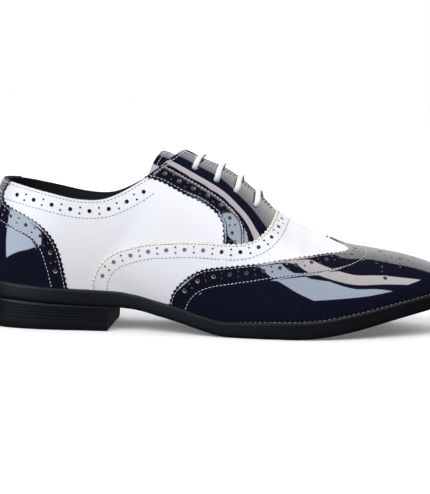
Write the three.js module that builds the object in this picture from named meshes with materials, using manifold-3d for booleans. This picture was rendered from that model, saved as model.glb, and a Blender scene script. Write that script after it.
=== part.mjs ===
// A spectator shoe: a laced full brogue in navy patent and white leather on a moulded black sole.
// It is the right shoe of a pair. Millimetres, +X to the toe, -Y to the outer side, +Z up.
import * as THREE from "three";
import Module from "manifold-3d";

const wasm = await Module();
wasm.setup();

// Last and sole sizes
const soleLength = 305;
const ballWidth = 104;
const heelHeight = 20;
const toeSpring = 20;
const soleThickness = 11;
const instepHeight = 115;
const backHeight = 96;
const toeSwing = 6;
const weltMargin = 4;
const sideRelief = 1;

// Leather, lining and lace sizes
const upperWall = 2.2;
const vampLeather = 1.0;
const facingLeather = 1.0;
const capLeather = 1.2;
const counterLeather = 1.2;
const tongueWall = 2.0;
const insoleThickness = 2.5;
const throatGapTop = 9;
const throatGapBottom = 3;
const laceWidth = 3.5;
const laceThickness = 1.8;
const laceClearance = 0.5;
const clearance = 0.3;

// Where the collar starts its climb and the throat starts and ends, as shares of the sole length
const collarClimbAt = 0.33;
const throatTopAt = 0.43;
const throatBottomAt = 0.61;

// Sizes that follow from the ones above
const facingFace = clearance + facingLeather;
const laceDepth = upperWall + laceClearance + laceThickness / 2;
const laceRise = facingFace + laceClearance + laceThickness / 2;
const tongueDepth = upperWall + 2 * laceClearance + laceThickness;
const eyeletBore = Math.hypot(laceWidth, laceThickness) + 2 * clearance;

// How finely the skin is faceted: columns round half the shoe in four stretches, and rows up it
const heelColumns = 9;
const collarColumns = 6;
const throatColumns = 6;
const toeColumns = 12;
const skinRows = 9;

// Sixteen stations round the last, an equal angle apart from the heel by the outer side to the toe and back.
// edge: sole edge across, share of ballWidth. margin: welt seen beside the upper, share of weltMargin.
// ridge: where the rib of this station meets the ridge, share of soleLength.
// bulge and rise: how far the rib swings out, share of ballWidth, and how high, share of its height.
// shoulder: how far in from the ridge the rib stays level, share of its reach.
const stations = [
  { edge: 0.0, margin: 0.55, ridge: 0.2, bulge: 0.062, rise: 0.27, shoulder: 0.86 },
  { edge: -0.245, margin: 0.55, ridge: 0.226, bulge: 0.062, rise: 0.29, shoulder: 0.86 },
  { edge: -0.335, margin: 0.55, ridge: 0.292, bulge: 0.058, rise: 0.31, shoulder: 0.84 },
  { edge: -0.338, margin: 0.6, ridge: 0.375, bulge: 0.055, rise: 0.32, shoulder: 0.76 },
  { edge: -0.44, margin: 0.8, ridge: 0.515, bulge: 0.052, rise: 0.32, shoulder: 0.66 },
  { edge: -0.497, margin: 1.0, ridge: 0.66, bulge: 0.05, rise: 0.32, shoulder: 0.62 },
  { edge: -0.355, margin: 1.0, ridge: 0.778, bulge: 0.045, rise: 0.34, shoulder: 0.58 },
  { edge: -0.165, margin: 1.0, ridge: 0.822, bulge: 0.044, rise: 0.36, shoulder: 0.58 },
  { edge: 0.05, margin: 1.0, ridge: 0.836, bulge: 0.043, rise: 0.38, shoulder: 0.6 },
  { edge: 0.25, margin: 1.0, ridge: 0.822, bulge: 0.044, rise: 0.36, shoulder: 0.58 },
  { edge: 0.44, margin: 1.0, ridge: 0.778, bulge: 0.045, rise: 0.34, shoulder: 0.58 },
  { edge: 0.497, margin: 1.0, ridge: 0.66, bulge: 0.05, rise: 0.32, shoulder: 0.62 },
  { edge: 0.33, margin: 0.8, ridge: 0.515, bulge: 0.055, rise: 0.32, shoulder: 0.66 },
  { edge: 0.285, margin: 0.6, ridge: 0.375, bulge: 0.058, rise: 0.32, shoulder: 0.78 },
  { edge: 0.33, margin: 0.55, ridge: 0.292, bulge: 0.058, rise: 0.31, shoulder: 0.84 },
  { edge: 0.245, margin: 0.55, ridge: 0.226, bulge: 0.062, rise: 0.29, shoulder: 0.86 },
];

// Sole from heel to toe. at: share of soleLength. heel, spring and thick: shares of heelHeight,
// toeSpring and soleThickness.
const soleRows = [
  { at: 0, heel: 1, spring: 0, thick: 1.01 },
  { at: 0.18, heel: 0.83, spring: 0, thick: 0.92 },
  { at: 0.3, heel: 0.775, spring: 0, thick: 0.92 },
  { at: 0.335, heel: 0.735, spring: 0, thick: 0.84 },
  { at: 0.385, heel: 0.56, spring: 0, thick: 0.83 },
  { at: 0.43, heel: 0.39, spring: 0, thick: 0.86 },
  { at: 0.475, heel: 0.185, spring: 0, thick: 0.84 },
  { at: 0.515, heel: 0.03, spring: 0, thick: 0.84 },
  { at: 0.54, heel: 0, spring: 0, thick: 0.86 },
  { at: 0.6, heel: 0, spring: 0, thick: 0.93 },
  { at: 0.68, heel: 0, spring: 0, thick: 1 },
  { at: 0.73, heel: 0, spring: 0.07, thick: 1 },
  { at: 0.78, heel: 0, spring: 0.205, thick: 1 },
  { at: 0.82, heel: 0, spring: 0.355, thick: 0.96 },
  { at: 0.875, heel: 0, spring: 0.58, thick: 0.92 },
  { at: 0.925, heel: 0, spring: 0.76, thick: 0.88 },
  { at: 1, heel: 0, spring: 1, thick: 0.85 },
];

// Ridge line over the instep and toe. at: share of soleLength, up: share of instepHeight.
const ridgeRows = [
  { at: 0.14, up: 1.085 },
  { at: 0.28, up: 1.085 },
  { at: 0.36, up: 1.045 },
  { at: 0.43, up: 0.983 },
  { at: 0.465, up: 0.94 },
  { at: 0.525, up: 0.866 },
  { at: 0.55, up: 0.812 },
  { at: 0.586, up: 0.735 },
  { at: 0.618, up: 0.645 },
  { at: 0.67, up: 0.562 },
  { at: 0.728, up: 0.497 },
  { at: 0.765, up: 0.463 },
  { at: 0.8, up: 0.449 },
  { at: 0.845, up: 0.432 },
  { at: 0.9, up: 0.415 },
  { at: 1, up: 0.39 },
];

// Collar line. at: share of soleLength, up: share of backHeight.
const collarRows = [
  { at: -0.02, up: 0.995 },
  { at: 0.04, up: 0.984 },
  { at: 0.074, up: 0.965 },
  { at: 0.123, up: 0.93 },
  { at: 0.169, up: 0.898 },
  { at: 0.2, up: 0.877 },
  { at: 0.24, up: 0.866 },
  { at: 0.262, up: 0.87 },
  { at: 0.285, up: 0.893 },
  { at: 0.314, up: 0.939 },
  { at: 0.337, up: 0.982 },
  { at: 0.362, up: 1.042 },
  { at: 0.386, up: 1.1 },
  { at: 0.407, up: 1.155 },
  { at: 0.43, up: 1.195 },
];

// Seams seen from the side. at: share of soleLength, up: share of instepHeight or of backHeight.
const capSeam = [
  { at: 0.402, up: 0.02 },
  { at: 0.41, up: 0.176 },
  { at: 0.432, up: 0.281 },
  { at: 0.455, up: 0.338 },
  { at: 0.489, up: 0.377 },
  { at: 0.536, up: 0.398 },
  { at: 0.601, up: 0.42 },
  { at: 0.686, up: 0.439 },
  { at: 0.738, up: 0.452 },
  { at: 0.766, up: 0.456 },
  { at: 0.774, up: 0.475 },
  { at: 0.775, up: 0.62 },
];
const vampSeam = [
  { at: 0.24, up: 0.02 },
  { at: 0.242, up: 0.23 },
  { at: 0.252, up: 0.338 },
  { at: 0.268, up: 0.4 },
  { at: 0.287, up: 0.438 },
  { at: 0.326, up: 0.477 },
  { at: 0.367, up: 0.501 },
  { at: 0.418, up: 0.512 },
  { at: 0.47, up: 0.515 },
  { at: 0.522, up: 0.506 },
  { at: 0.543, up: 0.504 },
  { at: 0.564, up: 0.51 },
  { at: 0.583, up: 0.531 },
  { at: 0.597, up: 0.558 },
  { at: 0.608, up: 0.594 },
  { at: 0.615, up: 0.636 },
  { at: 0.619, up: 0.7 },
  { at: 0.62, up: 0.9 },
];
const facingSeam = [
  { at: 0.31, up: 0.89 },
  { at: 0.35, up: 0.854 },
  { at: 0.39, up: 0.815 },
  { at: 0.414, up: 0.783 },
  { at: 0.461, up: 0.727 },
  { at: 0.485, up: 0.693 },
  { at: 0.505, up: 0.647 },
  { at: 0.515, up: 0.6 },
  { at: 0.517, up: 0.55 },
  { at: 0.518, up: 0.4 },
];
const counterSeam = [
  { at: 0.085, up: 1.06 },
  { at: 0.071, up: 0.969 },
  { at: 0.059, up: 0.928 },
  { at: 0.053, up: 0.893 },
  { at: 0.054, up: 0.853 },
  { at: 0.06, up: 0.826 },
  { at: 0.077, up: 0.799 },
  { at: 0.116, up: 0.738 },
  { at: 0.134, up: 0.704 },
  { at: 0.164, up: 0.611 },
  { at: 0.176, up: 0.538 },
  { at: 0.189, up: 0.387 },
  { at: 0.196, up: 0.28 },
  { at: 0.2, up: 0.02 },
];

// Peak of the cap seen from above. at: share of soleLength, half: share of ballWidth from the ridge.
const capPeak = [
  { at: 0.722, half: 0.004 },
  { at: 0.735, half: 0.028 },
  { at: 0.747, half: 0.052 },
  { at: 0.76, half: 0.07 },
  { at: 0.785, half: 0.1 },
];

// Eyelet pairs. at: share of soleLength along the ridge. climb: how far up the rib, outer and inner side.
const eyeletRows = [
  { at: 0.463, outer: 0.805, inner: 0.805 },
  { at: 0.5045, outer: 0.785, inner: 0.785 },
  { at: 0.541, outer: 0.79, inner: 0.79 },
  { at: 0.5775, outer: 0.795, inner: 0.795 },
];

// Side wall of the sole, bottom to top. up: share of its thickness, out: share of sideRelief.
const soleSideRows = [
  { up: 0, out: -1.3 },
  { up: 0.1, out: -0.35 },
  { up: 0.56, out: -0.1 },
  { up: 0.62, out: -0.9 },
  { up: 0.68, out: -0.1 },
  { up: 0.92, out: 0 },
  { up: 1, out: -0.9 },
];

// Side wall of the heel, floor to sole. up: share of its height, out: share of sideRelief,
// breast: where its front wall stands, share of soleLength.
const heelSideRows = [
  { up: 0, out: -2, breast: 0.277 },
  { up: 0.05, out: -1.5, breast: 0.277 },
  { up: 0.44, out: -0.8, breast: 0.2775 },
  { up: 0.47, out: -1.5, breast: 0.2775 },
  { up: 0.5, out: -0.8, breast: 0.2775 },
  { up: 0.56, out: -0.7, breast: 0.2775 },
  { up: 0.59, out: -1.4, breast: 0.278 },
  { up: 0.62, out: -0.7, breast: 0.278 },
  { up: 0.8, out: -0.5, breast: 0.278 },
  { up: 0.83, out: -1.2, breast: 0.278 },
  { up: 0.86, out: -0.5, breast: 0.278 },
  { up: 1, out: -0.4, breast: 0.2785 },
];
const heelPairs = 12;

// Tongue from its free end to its sewn end. at: share of soleLength along the ridge,
// climb: how far down the rib it reaches, dive: share of the way from the lining to its own depth.
const tongueRows = [
  { at: 0.383, climb: 0.66, dive: 1 },
  { at: 0.41, climb: 0.62, dive: 1 },
  { at: 0.47, climb: 0.62, dive: 1 },
  { at: 0.56, climb: 0.64, dive: 1 },
  { at: 0.605, climb: 0.68, dive: 1 },
  { at: 0.64, climb: 0.72, dive: 0 },
  { at: 0.655, climb: 0.74, dive: 0 },
];
const tongueColumns = 12;
const tongueSteps = 8;
// How much further forward the free end lies at its corners than at its middle, share of soleLength
const tongueCornerAt = 0.03;

const FULL_TURN = 2 * Math.PI;
const HALF_TURN = Math.PI;
const ANGLE_STEP = 1e-3;

// A smooth curve through one column of a table that never overshoots its rows.
function through(rows, key) {
  const x = rows.map((row) => row.at);
  const y = rows.map((row) => row[key]);
  const last = x.length - 1;
  const width = x.slice(1).map((value, i) => value - x[i]);
  const chord = width.map((value, i) => (y[i + 1] - y[i]) / value);
  const slope = x.map((value, i) => {
    if (i === 0) return chord[0];
    if (i === last) return chord[last - 1];
    if (chord[i - 1] * chord[i] <= 0) return 0;
    const before = 2 * width[i] + width[i - 1];
    const after = width[i] + 2 * width[i - 1];
    return (before + after) / (before / chord[i - 1] + after / chord[i]);
  });
  return (at) => {
    const place = THREE.MathUtils.clamp(at, x[0], x[last]);
    let i = 0;
    while (i < last - 1 && place > x[i + 1]) i += 1;
    const t = (place - x[i]) / width[i];
    const u = 1 - t;
    return (
      y[i] * (1 + 2 * t) * u * u +
      slope[i] * width[i] * t * u * u +
      y[i + 1] * t * t * (3 - 2 * t) +
      slope[i + 1] * width[i] * t * t * (t - 1)
    );
  };
}

// A smooth closed curve round the stations, which lie an equal angle apart.
function around(key) {
  const count = stations.length;
  const value = (i) => stations[(i + count) % count][key];
  return (angle) => {
    const place = (((angle / FULL_TURN) % 1) + 1) * count;
    const i = Math.floor(place);
    const t = place - i;
    const [a, b, c, d] = [value(i - 1), value(i), value(i + 1), value(i + 2)];
    return b + 0.5 * t * (c - a + t * (2 * a - 5 * b + 4 * c - d + t * (3 * (b - c) + d - a)));
  };
}

const edgeShare = around("edge");
const marginShare = around("margin");
const ridgeShare = around("ridge");
const bulgeShare = around("bulge");
const riseShare = around("rise");
const shoulderShare = around("shoulder");
const heelShare = through(soleRows, "heel");
const springShare = through(soleRows, "spring");
const thickShare = through(soleRows, "thick");
const ridgeUp = through(ridgeRows, "up");
const collarUp = through(collarRows, "up");

const soleBottom = (x) => heelHeight * heelShare(x / soleLength) + toeSpring * springShare(x / soleLength);
const soleTop = (x) => soleBottom(x) + soleThickness * thickShare(x / soleLength);
const ridgeHeight = (x) => instepHeight * ridgeUp(x / soleLength);
const ridgeSide = (x) => toeSwing * THREE.MathUtils.clamp(x / soleLength, 0, 1) ** 2;
const collarHeight = (x) => backHeight * collarUp(x / soleLength);

// The sole's edge in plan, by the angle round it, and the way out of it.
function soleEdge(angle) {
  return new THREE.Vector2((soleLength * (1 - Math.cos(angle))) / 2, ballWidth * edgeShare(angle));
}
function wayOut(angle) {
  const along = soleEdge(angle + ANGLE_STEP).sub(soleEdge(angle - ANGLE_STEP));
  return new THREE.Vector2(along.y, -along.x).normalize();
}
function edgePoint(angle, out) {
  return soleEdge(angle).addScaledVector(wayOut(angle), out);
}

// Where the upper meets the sole.
function featherPoint(angle) {
  const plan = edgePoint(angle, -weltMargin * marginShare(angle));
  return new THREE.Vector3(plan.x, plan.y, soleTop(plan.x) + clearance);
}
function ridgePoint(angle) {
  const x = soleLength * ridgeShare(angle);
  return new THREE.Vector3(x, ridgeSide(x), ridgeHeight(x));
}
function ridgeSlope(x) {
  const step = 0.5;
  return (ridgeHeight(x + step) - ridgeHeight(x - step)) / (2 * step);
}

// A rib of the last: a cubic curve from the feather edge, out over the bulge and in along the shoulder.
function rib(angle, climb) {
  const foot = featherPoint(angle);
  const top = ridgePoint(angle);
  const reach = new THREE.Vector3(top.x - foot.x, top.y - foot.y, 0);
  const height = top.z - foot.z;
  const bulge = foot.clone().addScaledVector(reach.clone().normalize(), -ballWidth * bulgeShare(angle));
  bulge.z += height * riseShare(angle);
  const shoulder = top.clone().addScaledVector(reach, -shoulderShare(angle));
  shoulder.z -= ridgeSlope(top.x) * reach.x * shoulderShare(angle);
  return new THREE.CubicBezierCurve3(foot, bulge, shoulder, top).getPoint(climb);
}

// The way out of the skin. Where the side leans over the welt it stays level, to clear the sole.
function skinNormal(angle, climb) {
  if (climb > 1 - ANGLE_STEP) return new THREE.Vector3(-ridgeSlope(ridgePoint(angle).x), 0, 1).normalize();
  const round = rib(angle + ANGLE_STEP, climb).sub(rib(angle - ANGLE_STEP, climb));
  const up = rib(angle, climb + ANGLE_STEP).sub(rib(angle, Math.max(climb - ANGLE_STEP, 0)));
  const normal = round.cross(up);
  normal.z = Math.max(normal.z, 0);
  return normal.normalize();
}
function skinPoint(angle, climb, lift) {
  const point = rib(angle, climb).addScaledVector(skinNormal(angle, climb), lift);
  if (climb === 0) point.z = soleTop(point.x) + clearance;
  return point;
}

// The angle on the outer side at which the ribs meet the ridge at a share of the length.
function angleAtRidge(share) {
  let low = 0;
  let high = HALF_TURN;
  for (let step = 0; step < 40; step += 1) {
    const middle = (low + high) / 2;
    if (ridgeShare(middle) < share) low = middle;
    else high = middle;
  }
  return (low + high) / 2;
}
const collarClimb = angleAtRidge(collarClimbAt);
const throatTop = angleAtRidge(throatTopAt);
const throatBottom = angleAtRidge(throatBottomAt);

function throatHalf(x) {
  const start = throatTopAt * soleLength;
  const length = (throatBottomAt - throatTopAt) * soleLength;
  const down = THREE.MathUtils.clamp((x - start) / length, 0, 1);
  return THREE.MathUtils.lerp(throatGapTop, throatGapBottom, down) / 2;
}

// The first climb at which a test turns positive, found by steps and then by halving.
function firstClimb(test) {
  const steps = 50;
  for (let i = 1; i <= steps; i += 1) {
    if (test(i / steps) < 0) continue;
    let low = (i - 1) / steps;
    let high = i / steps;
    for (let turn = 0; turn < 20; turn += 1) {
      const middle = (low + high) / 2;
      if (test(middle) < 0) low = middle;
      else high = middle;
    }
    return (low + high) / 2;
  }
  return 1;
}

// How far up its rib the leather reaches: to the collar, to the throat's edge or to the ridge.
function climbEnd(angle) {
  const outerAngle = Math.min(angle, FULL_TURN - angle);
  const past = 1e-6;
  if (outerAngle >= throatBottom - past) return 1;
  const toCollar = firstClimb((climb) => {
    const point = rib(angle, climb);
    return point.z - collarHeight(point.x);
  });
  if (outerAngle < throatTop - past) return toCollar;
  const toThroat = firstClimb((climb) => {
    const point = rib(angle, climb);
    return throatHalf(point.x) - Math.abs(point.y - ridgeSide(point.x));
  });
  return Math.min(toCollar, toThroat);
}

// Column angles, with one on each end of the throat and closer ones where the collar climbs.
// Those of the inner side mirror those of the outer side.
function columnAngles() {
  const outer = [];
  const stretches = [
    [0, collarClimb, heelColumns],
    [collarClimb, throatTop, collarColumns],
    [throatTop, throatBottom, throatColumns],
    [throatBottom, HALF_TURN, toeColumns],
  ];
  for (const [from, to, count] of stretches) {
    for (let i = 0; i < count; i += 1) outer.push(THREE.MathUtils.lerp(from, to, i / count));
  }
  const inner = outer.slice(1).map((angle) => FULL_TURN - angle);
  return [...outer, HALF_TURN, ...inner.reverse()];
}
const angles = columnAngles();
const climbEnds = angles.map(climbEnd);

// A closed geometry from points and triangles, turned to face out.
function closedGeometry(points, triangles) {
  let volume = 0;
  for (const [a, b, c] of triangles) {
    volume += points[a].dot(new THREE.Vector3().crossVectors(points[b], points[c]));
  }
  const faces = volume < 0 ? triangles.map(([a, b, c]) => [a, c, b]) : triangles;
  const geometry = new THREE.BufferGeometry();
  const coordinates = points.flatMap((point) => [point.x, point.y, point.z]);
  geometry.setAttribute("position", new THREE.Float32BufferAttribute(coordinates, 3));
  geometry.setIndex(faces.flat());
  geometry.computeVertexNormals();
  return geometry;
}

// A leather layer over the last, between two distances from its skin, open at collar, throat and sole.
function leatherLayer(innerLift, outerLift) {
  const count = angles.length;
  const rowCount = skinRows + 1;
  const lifts = [outerLift, innerLift];
  const points = [];
  for (const lift of lifts) {
    for (let i = 0; i < count; i += 1) {
      for (let j = 0; j < rowCount; j += 1) {
        points.push(skinPoint(angles[i], (climbEnds[i] * j) / skinRows, lift));
      }
    }
  }
  const closed = (i) => climbEnds[i % count] === 1;
  // On the closed ridge the inner side's last row is the outer side's.
  const at = (layer, i, j) => {
    const column = i % count;
    const mirrored = j === skinRows && closed(column) && 2 * column > count ? count - column : column;
    return (layer * count + mirrored) * rowCount + j;
  };
  const triangles = [];
  const quad = (a, b, c, d) => {
    for (const [p, q, r] of [
      [a, b, c],
      [a, c, d],
    ]) {
      if (p !== q && q !== r && r !== p) triangles.push([p, q, r]);
    }
  };
  for (let i = 0; i < count; i += 1) {
    for (let j = 0; j < skinRows; j += 1) {
      quad(at(0, i, j), at(0, i + 1, j), at(0, i + 1, j + 1), at(0, i, j + 1));
      quad(at(1, i, j), at(1, i, j + 1), at(1, i + 1, j + 1), at(1, i + 1, j));
    }
    quad(at(1, i, 0), at(1, i + 1, 0), at(0, i + 1, 0), at(0, i, 0));
    if (closed(i) && closed(i + 1)) continue;
    quad(at(0, i, skinRows), at(0, i + 1, skinRows), at(1, i + 1, skinRows), at(1, i, skinRows));
  }
  return closedGeometry(points, triangles);
}

// A solid lofted through rings that are mirrored pairs: point i faces point count - i across the ring.
// Both ends are closed by ladders between those pairs.
function loftedPairs(rings) {
  const count = rings[0].length;
  const points = rings.flat();
  const triangles = [];
  for (let k = 0; k + 1 < rings.length; k += 1) {
    for (let i = 0; i < count; i += 1) {
      const next = (i + 1) % count;
      const [a, b] = [k * count + i, k * count + next];
      triangles.push([a, b, b + count], [a, b + count, a + count]);
    }
  }
  for (const [base, flip] of [
    [0, true],
    [(rings.length - 1) * count, false],
  ]) {
    for (let i = 0; i < count / 2; i += 1) {
      const corners = [i, i + 1, count - i - 1, (count - i) % count].map((corner) => base + corner);
      const [a, b, c, d] = flip ? corners.reverse() : corners;
      if (new Set([a, b, c]).size === 3) triangles.push([a, b, c]);
      if (new Set([a, c, d]).size === 3) triangles.push([a, c, d]);
    }
  }
  return closedGeometry(points, triangles);
}

function outsoleGeometry() {
  const rings = soleSideRows.map(({ up, out }) =>
    angles.map((angle) => {
      const plan = edgePoint(angle, out * sideRelief);
      const height = THREE.MathUtils.lerp(soleBottom(plan.x), soleTop(plan.x), up);
      return new THREE.Vector3(plan.x, plan.y, height);
    }),
  );
  return loftedPairs(rings);
}

function heelGeometry() {
  const rings = heelSideRows.map(({ up, out, breast }) => {
    const breastAngle = Math.acos(1 - 2 * breast);
    const outer = Array.from({ length: heelPairs + 1 }, (unused, i) => (breastAngle * i) / heelPairs);
    const inner = outer.slice(1).map((angle) => FULL_TURN - angle);
    return [...outer, ...inner.reverse()].map((angle) => {
      const plan = edgePoint(angle, out * sideRelief);
      return new THREE.Vector3(plan.x, plan.y, up * (soleBottom(plan.x) - clearance));
    });
  });
  return loftedPairs(rings);
}

function insoleGeometry() {
  const inset = upperWall + 2 * clearance;
  const ring = (lift) =>
    angles.map((angle) => {
      const plan = edgePoint(angle, -weltMargin * marginShare(angle) - inset);
      return new THREE.Vector3(plan.x, plan.y, soleTop(plan.x) + clearance + lift);
    });
  return loftedPairs([ring(0), ring(insoleThickness)]);
}

// Solids for joining and cutting, and back.
function toSolid(geometry) {
  return new wasm.Manifold(
    new wasm.Mesh({
      numProp: 3,
      vertProperties: geometry.getAttribute("position").array,
      triVerts: new Uint32Array(geometry.getIndex().array),
    }),
  );
}
function toGeometry(solid) {
  const { numProp, vertProperties, triVerts } = solid.getMesh();
  const geometry = new THREE.BufferGeometry();
  const kept = new Float32Array((vertProperties.length / numProp) * 3);
  for (let i = 0; i * numProp < vertProperties.length; i += 1) {
    kept.set(vertProperties.subarray(i * numProp, i * numProp + 3), i * 3);
  }
  geometry.setAttribute("position", new THREE.BufferAttribute(kept, 3));
  geometry.setIndex(new THREE.BufferAttribute(triVerts, 1));
  geometry.computeVertexNormals();
  return geometry;
}

// A closed prism over a flat outline: its two faces and its walls share their points.
function prism(outline, place) {
  const flat = THREE.ShapeUtils.isClockWise(outline) ? [...outline].reverse() : outline;
  const count = flat.length;
  const points = [0, 1].flatMap((end) => flat.map((point) => place(point, end)));
  const triangles = [];
  for (const [a, b, c] of THREE.ShapeUtils.triangulateShape(flat, [])) {
    triangles.push([c, b, a], [a + count, b + count, c + count]);
  }
  for (let i = 0; i < count; i += 1) {
    const next = (i + 1) % count;
    triangles.push([i, next, next + count], [i, next + count, i + count]);
  }
  return toSolid(closedGeometry(points, triangles));
}
const acrossPrism = (outline) =>
  prism(outline, (point, end) => new THREE.Vector3(point.x, (end ? 1 : -1) * ballWidth, point.y));
const uprightPrism = (outline) =>
  prism(outline, (point, end) => new THREE.Vector3(point.x, point.y, (end ? 2 : -1) * instepHeight));

// A seam line from its table, in mm, smooth and open.
function seamLine(rows, unitUp) {
  const knots = rows.map(({ at, up }) => new THREE.Vector2(at * soleLength, up * unitUp));
  const stepsPerRow = 2;
  return new THREE.SplineCurve(knots).getPoints(stepsPerRow * (rows.length - 1));
}

// The same line moved sideways, to its left where the distance is positive.
function movedLine(line, distance) {
  return line.map((point, i) => {
    const along = line[Math.min(i + 1, line.length - 1)].clone().sub(line[Math.max(i - 1, 0)]);
    const left = new THREE.Vector2(-along.y, along.x).normalize();
    return point.clone().addScaledVector(left, distance);
  });
}

// The space in front of a seam, or behind it, as seen from the side.
function besideSeam(line, farAt) {
  const far = farAt * soleLength;
  const ends = [line[line.length - 1], line[0]];
  return acrossPrism([...line, ...ends.map((point) => new THREE.Vector2(far, point.y))]);
}

// How far the cutting forms reach past the shoe, shares of soleLength and of instepHeight
const beyondToe = 1.1;
const beyondHeel = -0.1;
const beyondTop = 1.3;
// How far the facings run on under the vamp past the throat's end, share of soleLength
const facingTuck = 0.05;

const capLine = seamLine(capSeam, instepHeight);
const vampLine = seamLine(vampSeam, instepHeight);
const facingLine = seamLine(facingSeam, instepHeight);
const counterLine = seamLine(counterSeam, backHeight);

// The cap's peak, pointing back along the ridge, grown by a distance all round.
function peakPrism(grow) {
  const side = (sign) =>
    capPeak.map(({ at, half }) => {
      const x = at * soleLength;
      return new THREE.Vector2(x - grow, ridgeSide(x) + sign * (half * ballWidth + grow));
    });
  return uprightPrism([...side(-1), ...side(1).reverse()]);
}

// The space that the cap takes, grown by a distance for the piece beside it.
function capSpace(grow) {
  return besideSeam(movedLine(capLine, grow), beyondToe).add(peakPrism(grow));
}

// One side of the ridge, clear of it by half the clearance.
function sideSpace(sign) {
  const steps = 12;
  const line = Array.from({ length: steps + 1 }, (unused, i) => {
    const x = ((beyondToe - beyondHeel) * (i / steps) + beyondHeel) * soleLength;
    return new THREE.Vector2(x, ridgeSide(x) + (sign * clearance) / 2);
  });
  const far = [line[steps], line[0]].map((point) => new THREE.Vector2(point.x, sign * ballWidth));
  return uprightPrism([...line, ...far]);
}

const eyelets = eyeletRows.map(({ at, outer, inner }) => {
  const angle = angleAtRidge(at);
  return {
    outer: { angle, climb: outer },
    inner: { angle: FULL_TURN - angle, climb: inner },
  };
});

// A round punch through the leather at an eyelet, square to the skin.
function eyeletPunch({ angle, climb }) {
  const sides = 10;
  const length = 4 * (upperWall + facingFace);
  const geometry = new THREE.CylinderGeometry(eyeletBore / 2, eyeletBore / 2, length, sides);
  const axis = new THREE.Vector3(0, 1, 0);
  geometry.applyQuaternion(new THREE.Quaternion().setFromUnitVectors(axis, skinNormal(angle, climb)));
  const centre = rib(angle, climb);
  geometry.translate(centre.x, centre.y, centre.z);
  return toSolid(weldedGeometry(geometry));
}

// Shared corners joined, for a geometry that three.js makes with split edges.
function weldedGeometry(geometry) {
  const position = geometry.getAttribute("position");
  const index = geometry.getIndex();
  const places = new Map();
  const points = [];
  const corner = (i) => {
    const point = new THREE.Vector3().fromBufferAttribute(position, i);
    const key = point.toArray().map((value) => value.toFixed(4)).join(" ");
    if (!places.has(key)) places.set(key, points.push(point) - 1);
    return places.get(key);
  };
  const triangles = [];
  for (let i = 0; i < index.count; i += 3) {
    const face = [0, 1, 2].map((k) => corner(index.getX(i + k)));
    if (new Set(face).size === 3) triangles.push(face);
  }
  return closedGeometry(points, triangles);
}
const punches = eyelets.flatMap(({ outer, inner }) => [eyeletPunch(outer), eyeletPunch(inner)]);
const punched = (solid) => punches.reduce((rest, punch) => rest.subtract(punch), solid);

const layerSolid = (leather) => toSolid(leatherLayer(clearance, clearance + leather));

function upperGeometry() {
  return toGeometry(punched(toSolid(leatherLayer(-upperWall, 0))));
}
function capGeometry() {
  return toGeometry(layerSolid(capLeather).intersect(capSpace(0)));
}
function vampGeometry() {
  const inFront = besideSeam(vampLine, beyondToe);
  return toGeometry(layerSolid(vampLeather).intersect(inFront).subtract(capSpace(clearance)));
}
function counterGeometry() {
  return toGeometry(layerSolid(counterLeather).intersect(besideSeam(counterLine, beyondHeel)));
}

// A facing carries the eyelets on one side, from the collar to under the vamp's edge.
function facingGeometry(sign) {
  const underVamp = besideSeam(movedLine(vampLine, clearance), beyondToe);
  const onSide = layerSolid(facingLeather).intersect(facingSpace()).intersect(sideSpace(sign));
  return toGeometry(punched(onSide.subtract(underVamp)));
}

// The space above and in front of the facing's seam.
function facingSpace() {
  const top = beyondTop * instepHeight;
  const front = (throatBottomAt + facingTuck) * soleLength;
  const [first, last] = [facingLine[0], facingLine[facingLine.length - 1]];
  return acrossPrism([
    ...facingLine,
    new THREE.Vector2(front, last.y),
    new THREE.Vector2(front, top),
    new THREE.Vector2(first.x, top),
  ]);
}

// A sheet on its own grid of angles and climbs, with a lift for each side of it.
function tongueGeometry() {
  const down = through(tongueRows, "climb");
  const dive = through(tongueRows, "dive");
  const freeEnd = tongueRows[0].at;
  const sewnEnd = tongueRows[tongueRows.length - 1].at;
  const underLining = upperWall + clearance;
  const grid = [0, tongueWall].map((wall) =>
    Array.from({ length: tongueColumns + 1 }, (unused, i) =>
      Array.from({ length: tongueSteps + 1 }, (ignored, j) => {
        const across = (2 * j) / tongueSteps - 1;
        const start = freeEnd + tongueCornerAt * across * across;
        const at = THREE.MathUtils.lerp(start, sewnEnd, i / tongueColumns);
        const angle = angleAtRidge(at);
        const depth = THREE.MathUtils.lerp(underLining, tongueDepth, dive(at)) + wall;
        const climb = 1 - Math.abs(across) * (1 - down(at));
        return skinPoint(across > 0 ? FULL_TURN - angle : angle, climb, -depth);
      }),
    ),
  );
  return slabGeometry(grid);
}

// A closed slab between two grids of points of the same size.
function slabGeometry([top, bottom]) {
  const [columns, rows] = [top.length, top[0].length];
  const points = [...top.flat(), ...bottom.flat()];
  const at = (layer, i, j) => layer * columns * rows + i * rows + j;
  const triangles = [];
  const quad = (a, b, c, d) => triangles.push([a, b, c], [a, c, d]);
  for (let i = 0; i + 1 < columns; i += 1) {
    for (let j = 0; j + 1 < rows; j += 1) {
      quad(at(0, i, j), at(0, i + 1, j), at(0, i + 1, j + 1), at(0, i, j + 1));
      quad(at(1, i, j), at(1, i, j + 1), at(1, i + 1, j + 1), at(1, i + 1, j));
    }
    quad(at(0, i + 1, 0), at(0, i, 0), at(1, i, 0), at(1, i + 1, 0));
    quad(at(0, i, rows - 1), at(0, i + 1, rows - 1), at(1, i + 1, rows - 1), at(1, i, rows - 1));
  }
  for (let j = 0; j + 1 < rows; j += 1) {
    quad(at(0, 0, j), at(0, 0, j + 1), at(1, 0, j + 1), at(1, 0, j));
    quad(at(0, columns - 1, j + 1), at(0, columns - 1, j), at(1, columns - 1, j), at(1, columns - 1, j + 1));
  }
  return closedGeometry(points, triangles);
}

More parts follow.
